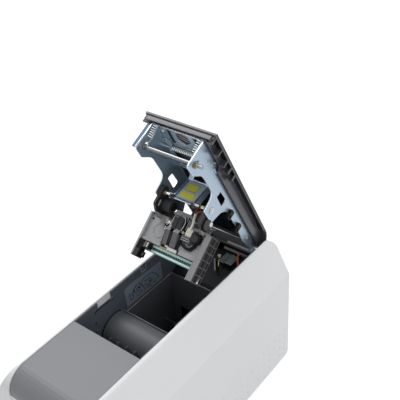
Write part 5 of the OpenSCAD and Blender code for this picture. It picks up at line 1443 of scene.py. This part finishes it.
    def carrier_details(self) -> None:
        """Makes the raised housings, rims and small holes of the carrier's grey face."""
        piece = self.piece("carrier_details", "carrier_plastic")
        piece.boxes(
            ((-47.0, 0.0, 33.8), (-17.0, 1.6, 37.8), CARRIER_GREY),
            ((12.6, 0.0, 31.6), (42.0, 1.4, 38.0), CARRIER_GREY),
            ((-50.3, -1.0, 1.0), (-48.6, 1.8, 61.0), CARRIER_GREY),
            ((10.6, 0.0, -1.0), (41.6, 2.2, 1.0), CARRIER_GREY),
            ((-47.0, 0.0, -0.6), (-40.0, 1.2, 2.2), BLACK),
            # recessed dark shelf: painted shade; the lit strip along its top: painted highlight
            ((-38.0, -3.4, -9.6), (-17.0, -0.6, 1.0), DARK_TOP),
            ((-38.0, -3.0, -10.4), (-17.0, 0.4, -9.0), CARRIER_LIT),
            ((-40.0, 0.0, -1.0), (-23.0, 0.6, 0.6), CARRIER_GREY),
        )
        bridge = ((-18.6, -7.4, 1), (-14.0, -14.2, 2), (9.0, -14.2, 2), (11.6, -7.4, 1))
        left = ((-34.0, -14.0, 1), (-34.0, -29.6, 2), (-14.4, -29.0, 2), (-10.4, -14.0, 1))
        right = ((2.0, -13.0, 1), (4.6, -27.0, 2), (15.4, -28.0, 2), (16.0, -8.0, 1))
        piece.prism(rounded(bridge), Y, 0.0, 3.0, CARRIER_GREY)
        piece.prism(rounded(left), Y, -4.4, -3.0, STEEL_BLUE)
        piece.prism(rounded(right), Y, -4.4, -3.0, DARK_TOP)
        for profile, x, s, fin in (
            ([(0.0, 1.1), (0.4, 1.0)], -24.2, 28.0, INK),
            ([(0.0, 1.2), (1.3, 1.0)], 37.0, 33.6, BLACK),
            ([(0.0, 1.6), (0.7, 1.4)], -44.6, 8.0, INK),
        ):
            piece.turned(profile, (x, 0, s), Y, fin, 16)
        piece.done(0.3)

    def arm_fittings(self) -> None:
        """Makes the cap on the right arm, the drum behind the left arm, the arms' rims and a slot mark."""
        piece = self.piece("arm_fittings", "black_plastic", space=HEAD)
        for profile, at, fin, sides in (
            ([(37.0, 9.6), (38.6, 9.6), (39.0, 9.0)], self.cap, BLACK, 36),
            ([(38.8, 7.4), (39.6, 7.2), (39.7, 5.0)], self.cap, DARK_TOP, 32),
            ([(39.5, 3.4), (40.4, 3.2), (40.6, 2.4)], self.pin, BRIGHT, 24),
            ([(-33.8, 9.2), (-22.0, 9.2), (-21.4, 8.6)], self.drum, DRUM, 36),
            ([(-21.6, 6.4), (-20.8, 6.0), (-20.7, 3.0)], self.drum, BLACK, 32),
        ):
            piece.turned(profile, (0.0, *at), X, fin, sides)
        rim = rounded(self.arm_rim)
        for x in (34.3, 36.7, -34.3, -36.7):
            piece.tube(np.column_stack((np.full(len(rim), x), rim)), 0.45, DARK_TOP, 6, loop=True)
        slot = ((-5.2, -9.8), (-6.4, -17.2))
        piece.stroke(slot, X, -34.3, 3.4, 0.2, DARK_TOP)
        piece.stroke(slot, X, -34.15, 2.0, 0.15, SILK)
        piece.done()

    def rail(self) -> None:
        """Makes the lit lines on the rail's ribs and its lit front face, painted highlights, and its contact
        with the small spring.
        """
        piece = self.piece("rail_painted_highlights", "rail_plastic")
        x = self.half
        # painted highlights: light lines on the ribs and the lit front face
        for k in range(self.rail_painted_highlights):
            s = 1.0 + self.rail_step * k
            piece.box((x - 0.3, -15.2, s), (x + 0.22, 7.6, s + 0.7), RAIL_RIB_HIGHLIGHT)
        for n, wide in ((6.9, 0.8), (-3.9, 0.5), (-7.2, 0.5), (-15.6, 0.7)):
            piece.box((x - 0.3, n, 1.4), (x + 0.2, n + wide, 61.6), RAIL_RIB_HIGHLIGHT)
        piece.box((x - 7.9, 7.7, 1.2), (x - 0.1, 8.3, 61.8), RAIL_LIT)
        piece.box((x - 8.3, 2.4, 1.0), (x - 7.4, 8.3, 61.8), RAIL_LIT)
        piece.done(0.12)
        tip = self.piece("rail_contact", "bright_steel")
        tip.turned([(x - 0.4, 2.6), (x + 0.2, 2.6), (x + 0.3, 1.9)], (0, -8.6, 53.4), X, DARK_TOP)
        tip.tube(helix((x - 0.6, -9.4, 54.2), (x - 0.6, -7.0, 59.6), 0.7, 6, 10), 0.34, SPRING, 6)
        tip.box((x - 0.6, -9.0, 58.6), (x + 0.3, -6.6, 60.6), SPRING)
        tip.box((x - 0.6, -4.8, 49.6), (x + 0.3, -3.4, 56.0), DARK_TOP)
        tip.done()

    def build(self) -> None:
        """Builds the head's pieces."""
        self.bar_face()
        self.latch_block()
        self.bright_clips()
        self.cable()
        self.flat_cable()
        self.carrier_details()
        self.arm_fittings()
        self.rail()


@dataclass
class Bay(Assembly):
    """Bay of the printer: instruction plate, notches, ledge and well details.

    Attributes: face of the left liner, negative; outline of the instruction plate and the width and
    height of its drawn lines; centre of the drum-shaped hood and the outer and inner radius of the dark arc
    at its end, painted shade in the gap there.
    """

    face: float = -53.4
    plate: Corners = ((6.2, 175.8, 2), (4.9, 205.6, 2), (13.5, 207.9, 3), (78.3, 204.6, 2), (78.5, 174.4, 2))
    line: float = 0.85
    line_t: float = 0.22
    hood: Place = (-19.5, 155.6)
    gap_shade: Place = (29.12, 28.4)

    def instruction_plate(self) -> None:
        """Makes the plate on the left liner with its rim and a plain line drawing of boxes and arrows."""
        piece = self.piece("instruction_plate", "liner_plastic")
        x = self.face + 0.3
        outline = rounded(self.plate)
        piece.prism(outline, X, self.face - 0.1, self.face + 0.35, PLATE_BLUE)
        piece.stroke(np.vstack((outline, outline[:1])), X, x, 0.9, 0.25, PLATE_RIM)
        lines: tuple[Outline, ...] = (
            ((36.9, 197.8), (44.0, 199.6), (52.8, 199.6), (61.2, 197.2), (69.5, 187.3), (71.2, 180.6)),
            ((33.9, 200.0), (40.3, 186.8), (41.9, 180.3)),
            ((59.4, 185.6), (53.5, 193.0), (49.9, 192.6), (41.6, 195.0)),
            ((10.5, 190.8), (12.6, 193.6), (18.7, 190.4), (20.9, 194.3), (27.0, 199.2), (31.9, 198.5),
             (37.3, 189.9)),
            ((13.4, 188.5), (12.4, 184.5), (15.0, 181.5), (18.5, 182.0), (19.8, 185.5), (17.1, 188.6),
             (13.4, 188.5)),
            ((22.0, 196.0), (22.4, 188.0), (27.5, 186.6)),
            ((26.5, 198.4), (27.2, 189.5), (32.0, 188.2)),
            ((25.8, 181.9), (30.3, 178.9), (34.3, 183.9), (37.5, 181.1)),
            ((44.2, 189.3), (48.4, 183.0), (55.0, 185.8)),
            ((60.2, 180.8), (64.2, 178.0), (66.9, 181.0)),
            ((45.0, 181.0), (52.0, 179.4), (58.0, 181.6)),
        )
        for line in lines:
            piece.stroke(line, X, x, self.line, self.line_t, INK)
        for start, end in (
            ((20.5, 194.5), (22.5, 191.5)),
            ((53.0, 188.5), (56.0, 185.5)),
            ((30.0, 193.5), (33.5, 190.0)),
        ):
            piece.stroke((start, end), X, x, 2.4, self.line_t, INK)
        piece.done()

    def notches(self) -> None:
        """Makes the light rim of the hook notch, the finger notch's ledge with a dark line beneath it as
        painted shadow, and the small liner screws.
        """
        piece = self.piece("liner_notches", "liner_plastic")
        x = self.face
        piece.stroke(((40.2, 219.8), (40.8, 211.2), (49.2, 210.6), (49.8, 218.8)), X, x, 1.0, 0.3, NOTCH_RIM)
        piece.stroke(((44.4, 218.3), (44.4, 212.6), (47.4, 212.6)), X, x, 0.6, 0.3, NOTCH_RIM)
        piece.box((x - 2.0, 40.0, 205.0), (x - 1.6, 49.6, 220.8), LINER)
        # painted shadow: dark line beneath the finger notch's ledge
        piece.stroke(((-49.5, 206.6), (-47.2, 210.0), (-15.0, 210.0)), X, x - 0.1, 1.9, 0.35, INK)
        piece.stroke(((-22.0, 210.9), (-15.5, 211.0)), X, x - 0.1, 0.7, 0.5, PLATE_RIM)
        piece.turned([(x, 1.3), (x + 0.5, 1.3), (x + 0.8, 0.8)], (0, -51.0, 178.7), X, BRIGHT, 16)
        piece.turned([(x, 1.5), (x + 0.3, 1.3)], (0, -50.5, 191.9), X, INK, 16)
        piece.done()

    def well_details(self) -> None:
        """Makes the rim ledge's light top line as painted highlight, the rear rib's lit edge, the hood's dark
        arc as painted shade in the gap at its end, and painted glints deep inside.
        """
        piece = self.piece("well_details", "black_plastic")
        # painted highlight: light line along the top of the rim ledge
        piece.box((-52.6, 4.0, 170.2), (-51.3, 98.6, 171.0), LEDGE_HIGHLIGHT)
        piece.box((-52.4, -7.4, 178.0), (52.4, -6.2, 184.4), RIB_LIT)
        # painted shade: dark arc in the gap at the hood's end
        t = np.radians(np.linspace(64.0, 176.0, 28))[:, None]
        way = np.hstack((np.cos(t), np.sin(t)))
        outer, inner = (self.hood + radius * way for radius in self.gap_shade)
        piece.prism(np.vstack((outer, inner[::-1])), X, -52.5, -51.0, INK)
        # painted reflections: small glints deep in the well
        piece.box((-52.2, 73.2, 99.4), (-29.7, 74.2, 100.2), SPRING)
        piece.turned([(97.9, 0.9), (98.3, 0.9)], (-49.0, 0, 126.8), Y, CREAM, 12)
        piece.turned([(70.1, 2.6), (71.4, 2.6), (71.8, 1.8)], (-14.0, 60, 0), Z, LEDGE_HIGHLIGHT, 18)
        piece.box((36.0, 6.0, 118.0), (52.0, 7.2, 119.2), RIB_LIT)
        piece.done()

    def build(self) -> None:
        """Builds the bay's pieces."""
        self.instruction_plate()
        self.notches()
        self.well_details()


@dataclass
class RearDeck(Assembly):
    """Parts on the deck behind the well: vented block, cylinder, lever, post, plates of painted shade and
    wires.

    Attributes: number and step of the vents, and the top of the shelf behind the deck.
    """

    vents: int = 7
    vent_step: float = 3.1
    shelf_z: float = 195.9

    def vented_block(self) -> None:
        """Makes the vented block with the glossy cylinder behind it, the lever and the round post."""
        piece = self.piece("deck_vented_block", "duct_plastic")
        piece.box((3.0, 137.0, 186.6), (24.0, 160.0, 189.4), DUCT)
        piece.box((12.0, 139.0, 189.0), (23.4, 159.4, 190.4), VENT_BLUE)
        for k in range(self.vents):
            rise = self.vent_step * k
            piece.box((2.6, 138.0 + rise, 187.4), (11.4, 139.7 + rise, 190.3), VENT_BLUE)
        roll = [(-12.0, 8.0), (-11.2, 9.0), (36.4, 9.0), (37.2, 8.0)]
        piece.turned(roll, (0, 176.5, 180.0), X, GLOSS_BLACK, 40)
        piece.stroke(((-6.6, 141.0), (9.0, 121.0)), Z, 184.6, 2.2, 3.4, RAIL_LIT)
        piece.turned([(186.6, 2.6), (189.4, 2.6), (190.4, 1.6)], (-3.4, 148.6, 0), Z, CREAM, 18)
        piece.done(0.4)

    def shelf_painted_shade(self) -> None:
        """Makes the dark plates, painted shade, and the lit strip, painted highlight, on the shelf behind the
        deck.
        """
        piece = self.piece("deck_painted_shade", "duct_plastic")
        z = self.shelf_z
        # painted shade: dark plates on the shelf; painted highlight: the lit strip before them
        piece.boxes(
            ((-36.0, 172.4, z), (-7.0, 189.6, z + 0.25), DUCT),
            ((-7.2, 177.4, z), (34.0, 189.6, z + 0.25), DUCT),
            ((-7.0, 172.0, z), (34.0, 175.4, z + 0.2), RAIL_LIT),
        )
        piece.done()

    def wires(self) -> None:
        """Makes the two wires over the vented block and the thin brass one by the post."""
        piece = self.piece("deck_bundle", "red_wire")
        arch = np.array(((25.0, 166.0, 187.0), (22.6, 160.0, 195.6), (26.4, 150.0, 197.6),
                         (33.0, 141.0, 188.0)))
        for dx, fin in ((0.0, RED_WIRE), (1.6, ORANGE_WIRE)):
            piece.tube(smooth_path(arch + (dx, 0.0, 0.0)), 0.7, fin, 8)
        thin = ((1.0, 142.0, 191.0), (4.0, 137.0, 190.0), (8.0, 130.0, 187.4))
        piece.tube(smooth_path(thin), 0.4, BRASS, 8)
        piece.done()

    def build(self) -> None:
        """Builds the deck's pieces."""
        self.vented_block()
        self.shelf_painted_shade()
        self.wires()


@dataclass
class Shell(Assembly):
    """White side shells: the field of small domes on the right side.

    Attributes: face of the side; place in y and z of the last dome, and the pitch of the field with its
    columns and rows; radius and height of a full dome, and the least share of it that a dome keeps.
    """

    side_x: float = 86.5
    last: Place = (181.5, 64.5)
    pitch: float = 14.2
    columns: int = 12
    rows: int = 4
    dome_r: float = 1.9
    dome_h: float = 0.3
    least: float = 0.45

    def dome_field(self) -> None:
        """Makes the domes: low round caps of four rings each, smaller and smaller towards the front."""
        piece = self.piece("side_domes", "white_plastic")
        x = self.side_x
        for k in range(self.columns):
            r = self.dome_r * (self.least + (1 - self.least) * (1.0 - k / self.columns))
            cap = [(x - 0.05, r), (x + 0.16, r * 0.8), (x + 0.28, r * 0.4), (x + self.dome_h, 0.05)]
            for j in range(self.rows):
                y, z = self.last[0] - self.pitch * k, self.last[1] - self.pitch * j
                piece.turned(cap, (0.0, y, z), X, DOME, 16)
        piece.done(angle=60)

    def build(self) -> None:
        """Builds the shell's pieces."""
        self.dome_field()


@dataclass
class Printer:
    """The whole printer: finishes every solid and adds the fine pieces of each sub-assembly."""

    shaders: Shaders = field(default_factory=Shaders)

    def finish_solids(self) -> None:
        """Puts each node's material on its mesh."""
        for name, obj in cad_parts.items():
            mat = self.shaders.get(NODE_FINISH[name])
            obj.data.materials.clear()
            obj.data.materials.append(mat)
            log.info("finish %s on %s", mat.name, name)

    def build(self) -> None:
        """Finishes the solids and builds all sub-assemblies."""
        self.finish_solids()
        for part in (LidFrame, HeadBracket, LidCover, PrintHead, Bay, RearDeck, Shell):
            part(self.shaders).build()


def main() -> None:
    """Builds the whole scene."""
    studio = Studio()
    studio.camera()
    studio.light()
    studio.floor()
    Printer().build()


if __name__ == "__main__":
    main()
